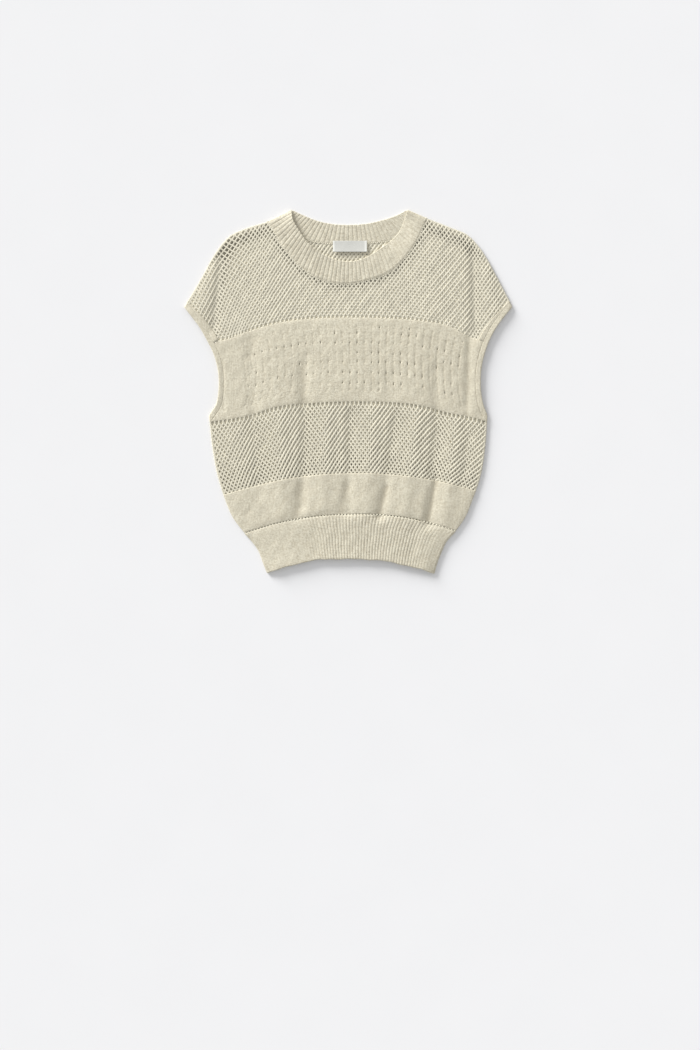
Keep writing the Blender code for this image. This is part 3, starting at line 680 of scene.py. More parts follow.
# ---------------------------------------------------------------- node trees
class Nodes:
    """Adds nodes to a tree and links them."""

    def __init__(self, tree):
        self.tree = tree

    def feed(self, socket, value):
        """Links a socket to an output, or sets its value."""
        if isinstance(value, bpy.types.NodeSocket):
            self.tree.links.new(value, socket)
        else:
            socket.default_value = value

    def add(self, kind, inputs=None, **settings):
        """A new node with its settings and inputs."""
        node = self.tree.nodes.new(kind)
        for name, value in settings.items():
            setattr(node, name, value)
        for name, value in (inputs or {}).items():
            self.feed(node.inputs[name], value)
        return node

    def out(self, kind, inputs=None, **settings):
        """The first output of a new node."""
        return self.add(kind, inputs, **settings).outputs[0]

    def math(self, operation, first, second=0.0):
        """The result of one sum."""
        return self.out("ShaderNodeMath", {0: first, 1: second}, operation=operation)

    def times(self, first, second):
        """One value times another."""
        return self.math("MULTIPLY", first, second)

    def less(self, value):
        """One less a value."""
        return self.math("SUBTRACT", 1.0, value)

    def off_middle(self, value):
        """How far the fraction of a value lies from a half."""
        return self.math("ABSOLUTE", self.math("SUBTRACT", self.math("FRACT", value), 0.5))

    def parts(self, vector):
        """The three parts of a vector."""
        return self.add("ShaderNodeSeparateXYZ", {0: vector}).outputs

    def named(self, name, kind):
        """A named attribute of the mesh."""
        return self.out("GeometryNodeInputNamedAttribute", {"Name": name}, data_type=kind)

    def stored(self, geometry, name, value):
        """The geometry with a value kept under a name on its points."""
        return self.out(
            "GeometryNodeStoreNamedAttribute", {"Geometry": geometry, "Name": name, "Value": value},
            data_type="FLOAT", domain="POINT")


def new_tree(name, sockets):
    """A geometry tree with its named inputs, and its group input and output nodes."""
    tree = bpy.data.node_groups.new(name, "GeometryNodeTree")
    tree.interface.new_socket("Geometry", in_out="INPUT", socket_type="NodeSocketGeometry")
    for label, kind, value in sockets:
        socket = tree.interface.new_socket(label, in_out="INPUT", socket_type="NodeSocket" + kind)
        if value is not None:
            socket.default_value = value
    tree.interface.new_socket("Geometry", in_out="OUTPUT", socket_type="NodeSocketGeometry")
    nodes = Nodes(tree)
    given = nodes.add("NodeGroupInput").outputs
    return nodes, given


def end_tree(nodes, given, geometry):
    """Ends a tree in Realize Instances and Set Material."""
    real = nodes.out("GeometryNodeRealizeInstances", {"Geometry": geometry})
    done = nodes.out("GeometryNodeSetMaterial", {"Geometry": real, "Material": given["Material"]})
    nodes.add("NodeGroupOutput", {"Geometry": done})
    return nodes.tree


def yarn_tree():
    """Strands of yarn along the edges of a mesh, two plies side by side in each."""
    nodes, given = new_tree("Yarn strands", (
        ("Sides", "Int", 8),
        ("Flatness", "Float", 0.72),
        ("Groove", "Float", 0.2),
        ("Material", "Material", None),
    ))
    curve = nodes.out("GeometryNodeMeshToCurve", {"Mesh": given["Geometry"]})
    curve = nodes.out("GeometryNodeSetCurveNormal", {"Curve": curve}, mode="Z_UP")
    curve = nodes.stored(curve, "strand", nodes.add("GeometryNodeSplineParameter").outputs["Length"])
    circle = nodes.out(
        "GeometryNodeCurvePrimitiveCircle", {"Resolution": given["Sides"], "Radius": 1.0})
    circle = nodes.stored(circle, "turn", nodes.add("GeometryNodeSplineParameter").outputs["Factor"])
    place = nodes.parts(nodes.out("GeometryNodeInputPosition"))
    dent = nodes.math("POWER", nodes.less(nodes.math("ABSOLUTE", place["X"])), 3.0)
    height = nodes.math("POWER", nodes.math("ABSOLUTE", place["Y"]), 0.6)
    height = nodes.times(height, nodes.math("SIGN", place["Y"]))
    height = nodes.times(height, given["Flatness"])
    height = nodes.times(height, nodes.less(nodes.times(dent, given["Groove"])))
    place = nodes.out("ShaderNodeCombineXYZ", {"X": place["X"], "Y": height, "Z": 0.0})
    circle = nodes.out("GeometryNodeSetPosition", {"Geometry": circle, "Position": place})
    strands = nodes.out("GeometryNodeCurveToMesh", {
        "Curve": curve, "Profile Curve": circle, "Scale": nodes.named("yarn_radius", "FLOAT"),
        "Fill Caps": True})
    strands = nodes.out("GeometryNodeSetShadeSmooth", {"Geometry": strands})
    return end_tree(nodes, given, strands)


def rib_tree():
    """Ribs and stitches raised along the normals of a wall, where its attribute asks for them."""
    nodes, given = new_tree("Rib relief", (
        ("Rib height", "Float", 0.001),
        ("Groove share", "Float", 0.32),
        ("Stitch height", "Float", 0.00012),
        ("Material", "Material", None),
    ))
    knit = nodes.parts(nodes.named("knit", "FLOAT_VECTOR"))
    groove = nodes.math("SUBTRACT", 0.5, nodes.off_middle(knit["X"]))
    groove = nodes.math("MINIMUM", nodes.math("DIVIDE", groove, given["Groove share"]), 1.0)
    rib = nodes.less(nodes.math("POWER", nodes.less(groove), 2.0))
    wave = nodes.math("ABSOLUTE", nodes.math("SINE", nodes.times(knit["Y"], np.pi)))
    stitch = nodes.times(nodes.times(wave, rib), given["Stitch height"])
    height = nodes.math("ADD", nodes.times(rib, given["Rib height"]), stitch)
    offset = nodes.out(
        "ShaderNodeVectorMath",
        {0: nodes.out("GeometryNodeInputNormal"), "Scale": nodes.times(height, knit["Z"])},
        operation="SCALE")
    wall = nodes.out("GeometryNodeSetPosition", {"Geometry": given["Geometry"], "Offset": offset})
    return end_tree(nodes, given, wall)


def stitch_tree():
    """A row of small stitches along the edges of a mesh, each lying across the seam a little."""
    nodes, given = new_tree("Stitch row", (
        ("Pitch", "Float", 0.0032),
        ("Length", "Float", 0.0034),
        ("Width", "Float", 0.0011),
        ("Height", "Float", 0.0009),
        ("Slant", "Float", 0.35),
        ("Material", "Material", None),
    ))
    curve = nodes.out("GeometryNodeMeshToCurve", {"Mesh": given["Geometry"]})
    points = nodes.add(
        "GeometryNodeCurveToPoints", {"Curve": curve, "Length": given["Pitch"]}, mode="LENGTH")
    bead = nodes.out("GeometryNodeMeshUVSphere", {"Segments": 8, "Rings": 5, "Radius": 0.5})
    size = nodes.out(
        "ShaderNodeCombineXYZ", {"X": given["Length"], "Y": given["Width"], "Z": given["Height"]})
    turn = nodes.out("ShaderNodeCombineXYZ", {"X": 0.0, "Y": 0.0, "Z": given["Slant"]})
    bead = nodes.out(
        "GeometryNodeTransform", {"Geometry": bead, "Scale": size, "Rotation": turn})
    turned = nodes.out(
        "FunctionNodeAlignRotationToVector", {"Vector": points.outputs["Tangent"]}, axis="X")
    row = nodes.out("GeometryNodeInstanceOnPoints", {
        "Points": points.outputs["Points"], "Instance": bead, "Rotation": turned})
    row = nodes.out("GeometryNodeSetShadeSmooth", {"Geometry": row})
    return end_tree(nodes, given, row)


def tree_named(name, maker):
    """A node tree that is made once."""
    return bpy.data.node_groups.get(name) or maker()


def with_tree(piece, tree, values):
    """Runs a tree on a piece and keeps its plain mesh."""
    modifier = piece.modifiers.new(tree.name, "NODES")
    modifier.node_group = tree
    for item in tree.interface.items_tree:
        if item.item_type == "SOCKET" and item.in_out == "INPUT" and item.name in values:
            modifier[item.identifier] = values[item.name]
    graph = bpy.context.evaluated_depsgraph_get()
    mesh = bpy.data.meshes.new_from_object(
        piece.evaluated_get(graph), preserve_all_data_layers=True, depsgraph=graph)
    piece.modifiers.remove(modifier)
    base = piece.data
    piece.data = mesh
    bpy.data.meshes.remove(base)
    mesh.name = piece.name


# ---------------------------------------------------------------- materials
COTTON = {
    "Roughness": 0.88, "Specular IOR Level": 0.25, "Sheen Weight": 0.12, "Sheen Roughness": 0.5,
    "Sheen Tint": (1.0, 0.97, 0.90, 1.0)}
SATIN = {"Roughness": 0.42, "Sheen Weight": 0.1}
PAPER = {"Roughness": 0.9, "Specular IOR Level": 0.1}
RIB_TONE = 0.97             # the ribs are a touch darker than the plain knit
TWIST = 0.0028              # length of one turn of the two plies


def rgba(colour, share=1.0):
    """A colour with its alpha, darkened to a share."""
    return (colour[0] * share, colour[1] * share, colour[2] * share, 1.0)


class Finish(Nodes):
    """A new material, with what its finishes share."""

    def __init__(self, name):
        self.material = bpy.data.materials.new(name)
        self.material.use_nodes = True
        super().__init__(self.material.node_tree)

    def place(self):
        """The place on the cloth."""
        return self.add("ShaderNodeTexCoord").outputs["Object"]

    def attribute(self, name, output):
        """An attribute of the mesh."""
        return self.add("ShaderNodeAttribute", attribute_name=name).outputs[output]

    def knit(self):
        """The parts of the knit attribute: wales across, courses along, and a third share that is the
        painted shade of a plain wall's hollows and the strength of a band's ribs.
        """
        return self.parts(self.attribute("knit", "Vector"))

    def noise(self, scale, detail=2.0, roughness=0.5, place=None):
        """Noise that runs with the place on the cloth."""
        return self.add("ShaderNodeTexNoise", {
            "Vector": place or self.place(), "Scale": scale, "Detail": detail,
            "Roughness": roughness}).outputs["Fac"]

    def spread(self, value, low, high):
        """A value stretched from a narrow range to 0 to 1."""
        return self.add("ShaderNodeMapRange", {
            "Value": value, "From Min": low, "From Max": high}).outputs["Result"]

    def blend(self, share, first, second):
        """A mix of two colours."""
        mix = self.add("ShaderNodeMix", data_type="RGBA")
        self.feed(mix.inputs["Factor"], share)
        for socket, value in zip((s for s in mix.inputs if s.type == "RGBA"), (first, second)):
            self.feed(socket, value)
        return next(s for s in mix.outputs if s.type == "RGBA")

    def over(self, base, second, share, amount):
        """A colour with an amount of a second one where a share asks for it."""
        return self.blend(self.times(share, amount), base, second)

    def mottled(self, light, dark, scale, low=0.3, high=0.7):
        """A colour that drifts between two tones with the place on the cloth."""
        return self.blend(self.spread(self.noise(scale, 3.0), low, high), dark, light)

    def fuzz(self, scale):
        """Fine uneven fibres."""
        return self.noise(scale, 4.0, 0.7)

    def crepe(self):
        """Uneven grain of a soft knit, a few stitches wide."""
        coarse = self.times(self.noise(330.0, 2.0, 0.55), 0.6)
        fine = self.times(self.noise(800.0, 2.0, 0.6), 0.4)
        return self.math("ADD", coarse, fine)

    def wales(self):
        """Thin uneven lines that run up the cloth with its stitches."""
        place = self.out(
            "ShaderNodeVectorMath", {0: self.place(), 1: (1.0, 0.11, 1.0)}, operation="MULTIPLY")
        return self.noise(620.0, 2.0, 0.55, place)

    def cream(self, colours, dark, scale, tone=1.0):
        """The yarn's mottled colour with painted light: lighter towards the upper left and greyer
        towards the lower right, as the light falls off across the cloth.
        """
        place = self.parts(self.place())
        away = self.math("SUBTRACT", place["X"], self.times(place["Y"], 0.5))
        # Painted light: the colour runs from 1.09 of the cream at the upper left to 0.955 at the lower
        # right.
        light = self.blend(self.spread(away, -0.17, 0.20), rgba(colours.cream, 1.09 * tone),
                           rgba(colours.cream, 0.955 * tone))
        return self.mottled(light, rgba(colours.cream, dark * tone), scale)

    def leg(self, knit, lean):
        """How full a stitch is along its leg, which leans up from the middle of its wale."""
        row = self.math("FRACT", self.math("SUBTRACT", knit["Y"], lean))
        return self.math("POWER", self.math("SINE", self.times(row, np.pi)), 0.6)

    def done(self, base, relief, distance, strength, constants):
        """The material with its colour, its fine relief and its shader's constants."""
        shader = self.tree.nodes["Principled BSDF"]
        self.feed(shader.inputs["Base Color"], base)
        self.feed(shader.inputs["Normal"], self.out(
            "ShaderNodeBump", {"Height": relief, "Distance": distance, "Strength": strength}))
        for name, value in constants.items():
            shader.inputs[name].default_value = value
        return self.material


def plain_knit(name, colours):
    """Fine plain knit in cotton with a crepe grain, and painted shade in its hollows, its sharp creases
    and between its stitch legs.
    """
    cloth = Finish(name)
    knit = cloth.knit()
    grain = cloth.crepe()
    leg = cloth.times(cloth.off_middle(knit["X"]), 2.0)
    middle = cloth.math("ABSOLUTE", cloth.math("SUBTRACT", cloth.times(leg, 2.0), 1.0))
    height = cloth.times(cloth.leg(knit, cloth.times(leg, 0.9)),
                         cloth.less(cloth.math("POWER", middle, 2.5)))
    base = cloth.cream(colours, 0.96, 30.0)
    # The grain and the wale lines darken it at random; the knit attribute's third part paints shade into
    # hollows and sharp creases; the last share paints shade between the stitch legs.
    for share, amount in (
            (cloth.less(cloth.spread(grain, 0.39, 0.57)), 0.52),
            (knit["Z"], 0.34),
            (cloth.less(cloth.spread(cloth.wales(), 0.38, 0.60)), 0.30),
            (cloth.less(height), 0.14)):
        base = cloth.over(base, rgba(colours.shade), share, amount)
    relief = cloth.math("ADD", cloth.times(height, 0.4), cloth.times(grain, 3.2))
    relief = cloth.math("ADD", relief, cloth.times(cloth.fuzz(1500.0), 0.25))
    return cloth.done(base, relief, 0.0004, 0.8, COTTON)


def net_yarn(name, colours):
    """Soft two-ply cotton strand, with painted shade between its plies, scaled by each strand's tone:
    random unevenness with the net's painted light and shade.
    """
    yarn = Finish(name)
    strand = yarn.times(yarn.attribute("strand", "Fac"), 1.0 / TWIST)
    turn = yarn.times(yarn.attribute("turn", "Fac"), 2.0)
    twist = yarn.math("ADD", strand, turn)
    plies = yarn.math("ABSOLUTE", yarn.math("SINE", yarn.times(twist, np.pi)))
    base = yarn.mottled(rgba(colours.cream), rgba(colours.cream, 0.88), 130.0)
    # Painted shade in the groove between the two plies.
    base = yarn.over(base, rgba(colours.shade), yarn.less(plies), 0.22)
    base = yarn.out("ShaderNodeVectorMath", {0: base, "Scale": yarn.attribute("tone", "Fac")},
                    operation="SCALE")
    relief = yarn.math("ADD", plies, yarn.times(yarn.fuzz(1600.0), 0.5))
    return yarn.done(base, relief, 0.0003, 0.7, COTTON)


def link_yarn(name, colours):
    """Linking stitches in the same cotton."""
    yarn = Finish(name)
    base = yarn.mottled(rgba(colours.cream), rgba(colours.cream, 0.86), 300.0)
    return yarn.done(base, yarn.fuzz(1400.0), 0.0003, 0.6, COTTON)


def rib_knit(name, colours):
    """Ribbed cotton with painted shade in the grooves between its ribs."""
    cloth = Finish(name)
    knit = cloth.knit()
    grain = cloth.crepe()
    away = cloth.off_middle(knit["X"])
    groove = cloth.math("POWER", cloth.times(away, 2.0), 5.0)
    ribbed = cloth.out("ShaderNodeMath", {0: knit["Z"]}, operation="ADD", use_clamp=True)
    base = cloth.cream(colours, 0.90, 80.0, RIB_TONE)
    # Darker fibres and grain at random, and painted shade in the rib grooves where the ribs stand up.
    for share, amount in (
            (cloth.less(cloth.fuzz(520.0)), 0.24),
            (cloth.less(cloth.spread(grain, 0.41, 0.55)), 0.58),
            (cloth.times(groove, ribbed), 0.42)):
        base = cloth.over(base, rgba(colours.shade, RIB_TONE), share, amount)
    bulge = cloth.leg(knit, cloth.times(away, 0.9))
    relief = cloth.math("ADD", cloth.times(bulge, 0.6), cloth.times(grain, 2.8))
    return cloth.done(base, relief, 0.0004, 0.7, COTTON)


def woven_label(name, colours):
    """Satin label tape with a fine twill."""
    tape = Finish(name)
    weave = tape.add("ShaderNodeTexWave", {
        "Vector": tape.place(), "Scale": 900.0, "Distortion": 1.5, "Detail": 2.0,
        "Detail Scale": 3.0}, bands_direction="DIAGONAL").outputs["Fac"]
    base = tape.mottled(rgba(colours.label), rgba(colours.label, 0.93), 160.0)
    base = tape.over(base, rgba(colours.label, 0.80), weave, 0.22)
    base = tape.over(base, rgba(colours.label, 1.25), tape.knit()["X"], 0.8)
    return tape.done(base, weave, 0.0001, 0.6, SATIN)


def paper_floor(name, colours):
    """Plain pale floor with a hardly visible tooth."""
    paper = Finish(name)
    base = paper.mottled(rgba(colours.floor), rgba(colours.floor, 0.992), 9.0, 0.35, 0.65)
    return paper.done(base, paper.fuzz(400.0), 0.0001, 0.2, PAPER)


def finish_named(name, maker):
    """A material that is made once."""
    return bpy.data.materials.get(name) or maker(name, bpy.context.scene.knit_colours)


# ---------------------------------------------------------------- meshes
def placed(name, data):
    """A new object in the scene, at the origin."""
    item = bpy.data.objects.new(name, data)
    bpy.context.scene.collection.objects.link(item)
    return item


def new_piece(name, points, edges, faces, attributes=None):
    """A new object at the origin, with its points' attributes."""
    mesh = bpy.data.meshes.new(name)
    mesh.from_pydata(points.tolist(), edges, faces)
    for label, values in (attributes or {}).items():
        values = np.asarray(values, np.float32)
        kind, key = ("FLOAT", "value") if values.ndim == 1 else ("FLOAT_VECTOR", "vector")
        layer = mesh.attributes.new(label, kind, "POINT")
        layer.data.foreach_set(key, values.ravel())
    return placed(name, mesh)


def closed_up(piece):
    """Merges doubles, then points the faces outwards and shades them smooth."""
    model = bmesh.new()
    model.from_mesh(piece.data)
    bmesh.ops.remove_doubles(model, verts=model.verts, dist=1e-6)
    bmesh.ops.recalc_face_normals(model, faces=model.faces)
    model.to_mesh(piece.data)
    model.free()
    piece.data.shade_smooth()
    return piece


def shell(name, top, bottom, knit, ring=False, left_open=None):
    """A closed wall between two grids of points, with some of its cells left open."""
    rows, columns = top.shape[:2]
    count = rows * columns
    points = np.concatenate((top.reshape(-1, 3), bottom.reshape(-1, 3)))
    number = np.arange(count).reshape(rows, columns)
    beside = np.roll(number, -1, axis=1)
    cells = np.stack((number[:-1], beside[:-1], beside[1:], number[1:]), axis=-1)
    if not ring:
        cells = cells[:, :-1]
    kept = cells.reshape(-1, 4) if left_open is None else cells[~left_open]
    steps = np.concatenate([kept[:, [k, (k + 1) % 4]] for k in range(4)])
    codes = steps[:, 0] * count + steps[:, 1]
    border = steps[~np.isin(codes, steps[:, 1] * count + steps[:, 0])]
    rim = np.stack((border[:, 1], border[:, 0], border[:, 0] + count, border[:, 1] + count), axis=-1)
    faces = np.concatenate((kept, kept[:, ::-1] + count, rim))
    knit = np.concatenate([layer.reshape(-1, 3) for layer in knit])
    piece = new_piece(name, points, [], faces.tolist(), {"knit": knit})
    return closed_up(piece)


def rounded(width, cell, first=0.0, last=0.0):
    """Shares across a width, closer where its ends are rounded, and the wall's fullness there."""
    turns = 1 - np.cos(np.linspace(0.0, np.pi / 2, 4)[:-1])
    start = first * turns if first else np.array([0.0])
    end = width - (last * turns if last else np.array([0.0]))
    inner = width - first - last
    count = max(int(round(inner / cell)), 2)
    places = first + np.linspace(0.0, inner, count + 1)
    if not first:
        places = places[1:]
    if not last:
        places = places[:-1]
    places = np.concatenate((start, places, end[::-1]))
    full = np.ones(len(places))
    for radius, distance in ((first, places), (last, width - places)):
        if radius:
            near = np.clip(distance / radius, 0.0, 1.0)
            full = np.minimum(full, np.sqrt(1 - (1 - near) ** 2))
    return places / width, full


def joined(lines):
    """Points and edges of several lines of points."""
    points = np.concatenate(lines)
    edges = []
    start = 0
    for line in lines:
        edges.extend((start + k, start + k + 1) for k in range(len(line) - 1))
        start += len(line)
    return points, edges


def plan_area(plan):
    """Area of a plan grid."""
    across = plan[1:, 1:] - plan[:-1, :-1]
    along_it = plan[:-1, 1:] - plan[1:, :-1]
    return 0.5 * np.abs(across[..., 0] * along_it[..., 1] - across[..., 1] * along_it[..., 0]).sum()


def keep(piece, material, node):
    """Sets the finish of a piece and hands it to the frame."""
    piece.data.materials.clear()
    piece.data.materials.append(material)
    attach(piece, "root")
    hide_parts(node)


# ---------------------------------------------------------------- nets
def inside(outline, points):
    """Which plan points lie inside a closed outline."""
    x, y = points[..., 0], points[..., 1]
    within = np.zeros(x.shape, bool)
    for (ax, ay), (bx, by) in zip(outline, np.roll(outline, -1, axis=0)):
        if ay == by:
            continue
        crosses = (ay > y) != (by > y)
        within ^= crosses & (x < (bx - ax) * (y - ay) / (by - ay) + ax)
    return within


def net_lines(grid):
    """The strands of a net over a grid of half pitches: those that rise to the right, then the rest."""
    rows, columns = grid.shape[:2]
    families = []
    for lean in (1, -1):
        strands = []
        first = 0 if lean > 0 else columns - 1
        starts = [(0, c) for c in range(columns) if c % 2 == 0]
        starts += [(r, first) for r in range(1, rows) if (r + first) % 2 == 0]
        for row, start in starts:
            count = min(rows - row, columns - start if lean > 0 else start + 1)
            if count > 1:
                steps = np.arange(count)
                strands.append(grid[row + steps, start + lean * steps])
        families.append(strands)
    return families


def with_middles(strand):
    """A strand with a point added halfway between each pair."""
    full = np.empty((2 * len(strand) - 1, strand.shape[1]))
    full[::2] = strand
    full[1::2] = (strand[:-1] + strand[1:]) / 2
    return full


def crossing(outline, within, beyond):
    """Where the way from points inside an outline to points beyond it meets the outline."""
    within = within.copy()
    beyond = beyond.copy()
    for _ in range(HALVINGS):
        middle = (within + beyond) / 2
        kept = inside(outline, middle)
        within[kept] = middle[kept]
        beyond[~kept] = middle[~kept]
    return within


def cut_to(outline, strand):
    """The runs of a strand that lie inside an outline, ending on it, with each point's node share."""
    node = (np.arange(len(strand)) % 2 == 0).astype(float)
    if outline is None:
        return [(strand, node)]
    kept = inside(outline, strand)
    runs = []
    start = 0
    while start < len(strand):
        if not kept[start]:
            start += 1
            continue
        end = start
        while end + 1 < len(strand) and kept[end + 1]:
            end += 1
        run = strand[start:end + 1]
        share = node[start:end + 1]
        if start > 0:
            run = np.concatenate((crossing(outline, run[:1], strand[start - 1:start]), run))
            share = np.concatenate(([0.5], share))
        if end + 1 < len(strand):
            run = np.concatenate((run, crossing(outline, run[-1:], strand[end + 1:end + 2])))
            share = np.concatenate((share, [0.5]))
        gaps = np.linalg.norm(np.diff(run, axis=0), axis=1) > SAME_PLACE
        solid = np.concatenate(([True], gaps))
        if solid.sum() > 1:
            runs.append((run[solid], share[solid]))
        start = end + 1
    return runs


def slope_of(points):
    """How steeply the front rises to the right, from -1 to 1."""
    step = np.array((0.002, 0.0))
    slope = (front_under(points + step) - front_under(points - step)) / (2 * step[0])
    steep = 0.12
    return np.clip(slope / steep, -1.0, 1.0)


def lean_of(points):
    """How much the strands that rise to the right stand out: more where the cloth falls to the right."""
    slope = slope_of(points) / 0.75
    lean = -0.01 - 0.85 * np.tanh(1.4 * slope * np.abs(slope))
    lean *= 1 - 0.20 * in_yoke(points)
    at_sides = smooth_step((np.abs(points[..., 0]) - 0.175) / 0.03)
    return lean * (1 - 0.65 * at_sides)


def cap_trough(side, heights):
    """Where the trough along a cap runs at some heights."""
    if side == "left":
        return -0.196 - 0.152 * (0.228 - heights)
    return np.full(np.shape(heights), RIGHT_TROUGH)


def cap_trough_share(points):
    """1 in the troughs along the two caps, falling to 0 beside them."""
    away = [np.abs(points[..., 0] - cap_trough(side, points[..., 1])) for side in BOTH_SIDES]
    return np.exp(-((np.minimum(*away) / TROUGH_REACH) ** 2)) * in_yoke(points)


def crest_of(points):
    """1 on the ridges of the front, -1 in its troughs."""
    return np.clip((fold_height(points) + rise_of(CREASES, points)) / CREST, -1.0, 1.0)


def stretch_of(points):
    """How far the net is pulled open, from 0 to 1: most at the shoulders and along the neck's seam."""
    share = np.linspace(0.05, 0.52, 12)
    near = np.minimum(*[distance_to(shoulder_line(side, share), points) for side in BOTH_SIDES])
    shoulders = np.exp(-(((near - 0.0135) / 0.0085) ** 2))
    neck = np.exp(-((distance_to(neck_line(NECK_FRONT, 24, seam=True), points) / 0.008) ** 2))
    return np.maximum(shoulders, 0.9 * neck)


def fullness(points):
    """Width of the strands: less where the net is pulled open and on the right walls of troughs."""
    slope = slope_of(points)
    high = in_yoke(points)
    falls = np.clip(-slope, 0.0, 1.0)
    rises = np.clip(slope, 0.0, 1.0)
    full = 0.95 + 0.07 * crest_of(points) + 0.10 * high - 0.07 * cap_trough_share(points)
    full += 0.10 * (1 - high) * falls**2 - 0.08 * rises
    return full * (1 - 0.22 * stretch_of(points))


def net(layer, part, grid, outline, material, cords, stubs):
    """A net of two families of strands over a plan grid, with cords along its edges.

    Its short straight stubs tie a row of crossings to the plain band beside it."""
    sizes = bpy.context.scene.knit_sizes
    front = layer == "front"
    yarn = sizes.net_yarn if front else sizes.back_yarn
    flatness = sizes.net_flatness * (1.0 if front else BACK_FLATTER)
    cord_rest = CLOTH + LAYER_GAP + CORD_LIFT if front else CORD_RADIUS
    neck_edge = neck_line(NECK_FRONT, 24)
    hole = np.concatenate((neck_edge, neck_line(NECK_BACK, 24)[::-1]))

    def rest(points):
        under = front_under(points)
        pulled = stretch_of(points)
        if front:
            return under + puckers(points) + NET_LIFT + PULLED_LIFT * pulled
        from_neck = smooth_step((distance_to(neck_edge, points) - 0.003) / 0.010)
        lift = (under - CLOTH - LAYER_GAP) * (0.92 - 0.3 * pulled)
        lift += 0.0006 * (1 - pulled) * in_yoke(points)
        return lift * (from_neck * ~inside(hole, points)) + yarn * flatness + FLOOR_CLEAR

    lines, radii, tones = [], [], []

    def add(line, radius, tone):
        lines.append(line)
        radii.append(np.broadcast_to(radius, len(line)))
        tones.append(np.broadcast_to(tone, len(line)))

    chance = np.random.default_rng(sizes.seed + len(grid))
    for sign, strands in zip((1.0, -1.0), net_lines(grid)):
        for strand in strands:
            for run, node in cut_to(outline, with_middles(strand)):
                lean = np.full(len(run), BACK_LEAN)
                full = 1.0
                if front:
                    lean = lean_of(run) * (1.0 if sign > 0 else FALL_LEAN)
                    full = fullness(run)
                lean = np.clip(sign * lean, -1.0, 1.0)
                lift = sizes.net_relief * np.sin(np.pi / 2 * lean) * (0.35 + 0.65 * node)
                radius = yarn * (1 + 0.10 * lean) * (0.93 + 0.14 * node) * full
                # Painted light and shade of the net's depths: the back's strands are painted lighter
                # where they show through the front's holes, and painted darker where the net is pulled
                # open, on the rising walls of troughs and in the troughs along the caps; each strand
                # also differs in tone at random.
                open_wall = np.clip(slope_of(run), 0.0, 1.0) * np.clip(0.4 - crest_of(run), 0.0, 1.0)
                deep = 1 - 0.65 * stretch_of(run) - 0.35 * open_wall - 0.35 * cap_trough_share(run)
                shown = front | inside(hole, run)
                tone = np.where(shown, FRONT_TONE, BACK_PAINTED_LIGHT * np.maximum(deep, MIN_SHADED_SHARE))
                add(raised(run, rest(run) + lift), radius, tone * chance.normal(1.0, TONE_JITTER))
    for start, end in stubs:
        run = np.stack((start, (start + end) / 2, end))
        if outline is None or inside(outline, run[:1])[0]:
            add(raised(run, rest(run) + STUB_RISE), STUB_WIDTH * yarn, 1.0)
    for cord in cords:
        add(raised(set_in(cord, CORD_RADIUS), cord_rest), CORD_RADIUS, 1.0)
    points, edges = joined(lines)
    piece = new_piece(layer + "_net_" + part, points, edges, [], {
        "yarn_radius": np.concatenate(radii), "tone": np.concatenate(tones)})
    with_tree(piece, tree_named("Yarn strands", yarn_tree), {
        "Sides": NET_SIDES[layer], "Flatness": flatness, "Groove": NET_GROOVE, "Material": material})
    keep(piece, material, layer + "_panel")


def waist_grid(end):
    """Plan grid of the waist net, up to a distance from the chest: a row for each row of the net."""
    sizes = bpy.context.scene.knit_sizes
    width = np.ptp(course_row(2.6, (0.0, 1.0))[:, 0])
    columns = 2 * int(round(width / sizes.net_pitch))
    height = band_height(2.0)
    rows = int(round(height / sizes.net_row))
    margin = NET_MARGIN / width
    fractions = np.linspace(margin, 1.0 - margin, columns + 1)
    grid = band_plan(2.0 + np.linspace(0.0, 1.0 - end / height, rows + 1), fractions)
    noise = np.random.default_rng(sizes.seed).normal(0.0, NET_JITTER, grid.shape)
    noise[[0, -1]] = 0.0
    noise[:, [0, -1]] = 0.0
    return grid + noise


def yoke_grid():
    """Plan grid of the yoke net, wider and higher than the yoke, which is then cut to its outline.

    Its columns draw closer together in the troughs along the two caps, and lean on the left cap."""
    sizes = bpy.context.scene.knit_sizes
    half = int(np.ceil(YOKE_HALF / sizes.net_pitch)) * 2
    rows = np.arange(-YOKE_SPARE, int(np.ceil(YOKE_HEIGHT / sizes.net_row)))
    heights = course(4.0, 0.0) + rows * sizes.net_row - CAP_DROP
    halves = []
    for side, drawn in (("left", 0.02), ("right", 0.20)):
        trough = cap_trough(side, heights)
        across = [np.zeros(len(rows))]
        for _ in range(half):
            closer = drawn * np.exp(-(((across[-1] - trough) / TROUGH_REACH) ** 2))
            across.append(across[-1] - INWARD[side] * sizes.net_pitch / 2 * (1 - closer))
        halves.append(np.stack(across, axis=-1))
    across = np.concatenate((halves[0][:, :0:-1], halves[1]), axis=1)
    on_left_cap = smooth_step((-YOKE_LEVEL - across) / 0.06)
    across -= CAP_LEAN * (heights[:, None] - LEAN_HEIGHT) * on_left_cap
    beyond = np.clip(across - YOKE_LEVEL, 0.0, 0.05)
    level = course(4.0, np.minimum(across, YOKE_LEVEL)) - CAP_LEAN * beyond
    grid = np.stack((across, level + STUB + rows[:, None] * sizes.net_row), axis=-1)
    return grid + np.random.default_rng(sizes.seed + 1).normal(0.0, NET_JITTER, grid.shape)


def cap_strip(side):
    """The seam and the inner line of the plain strip along a cap, from the chest's top to the tip."""
    seam = armhole_seam(side, 80)
    seam = seam[seam[:, 1] > course(4.0, seam[:, 0]) - 0.002]
    share = np.linspace(0.0, 1.0, len(seam))
    width = CAP_STRIP * (1 - share) ** 0.8 + CAP_STRIP_TIP
    return seam, seam + np.stack((INWARD[side] * width, 0.5 * width), axis=-1)


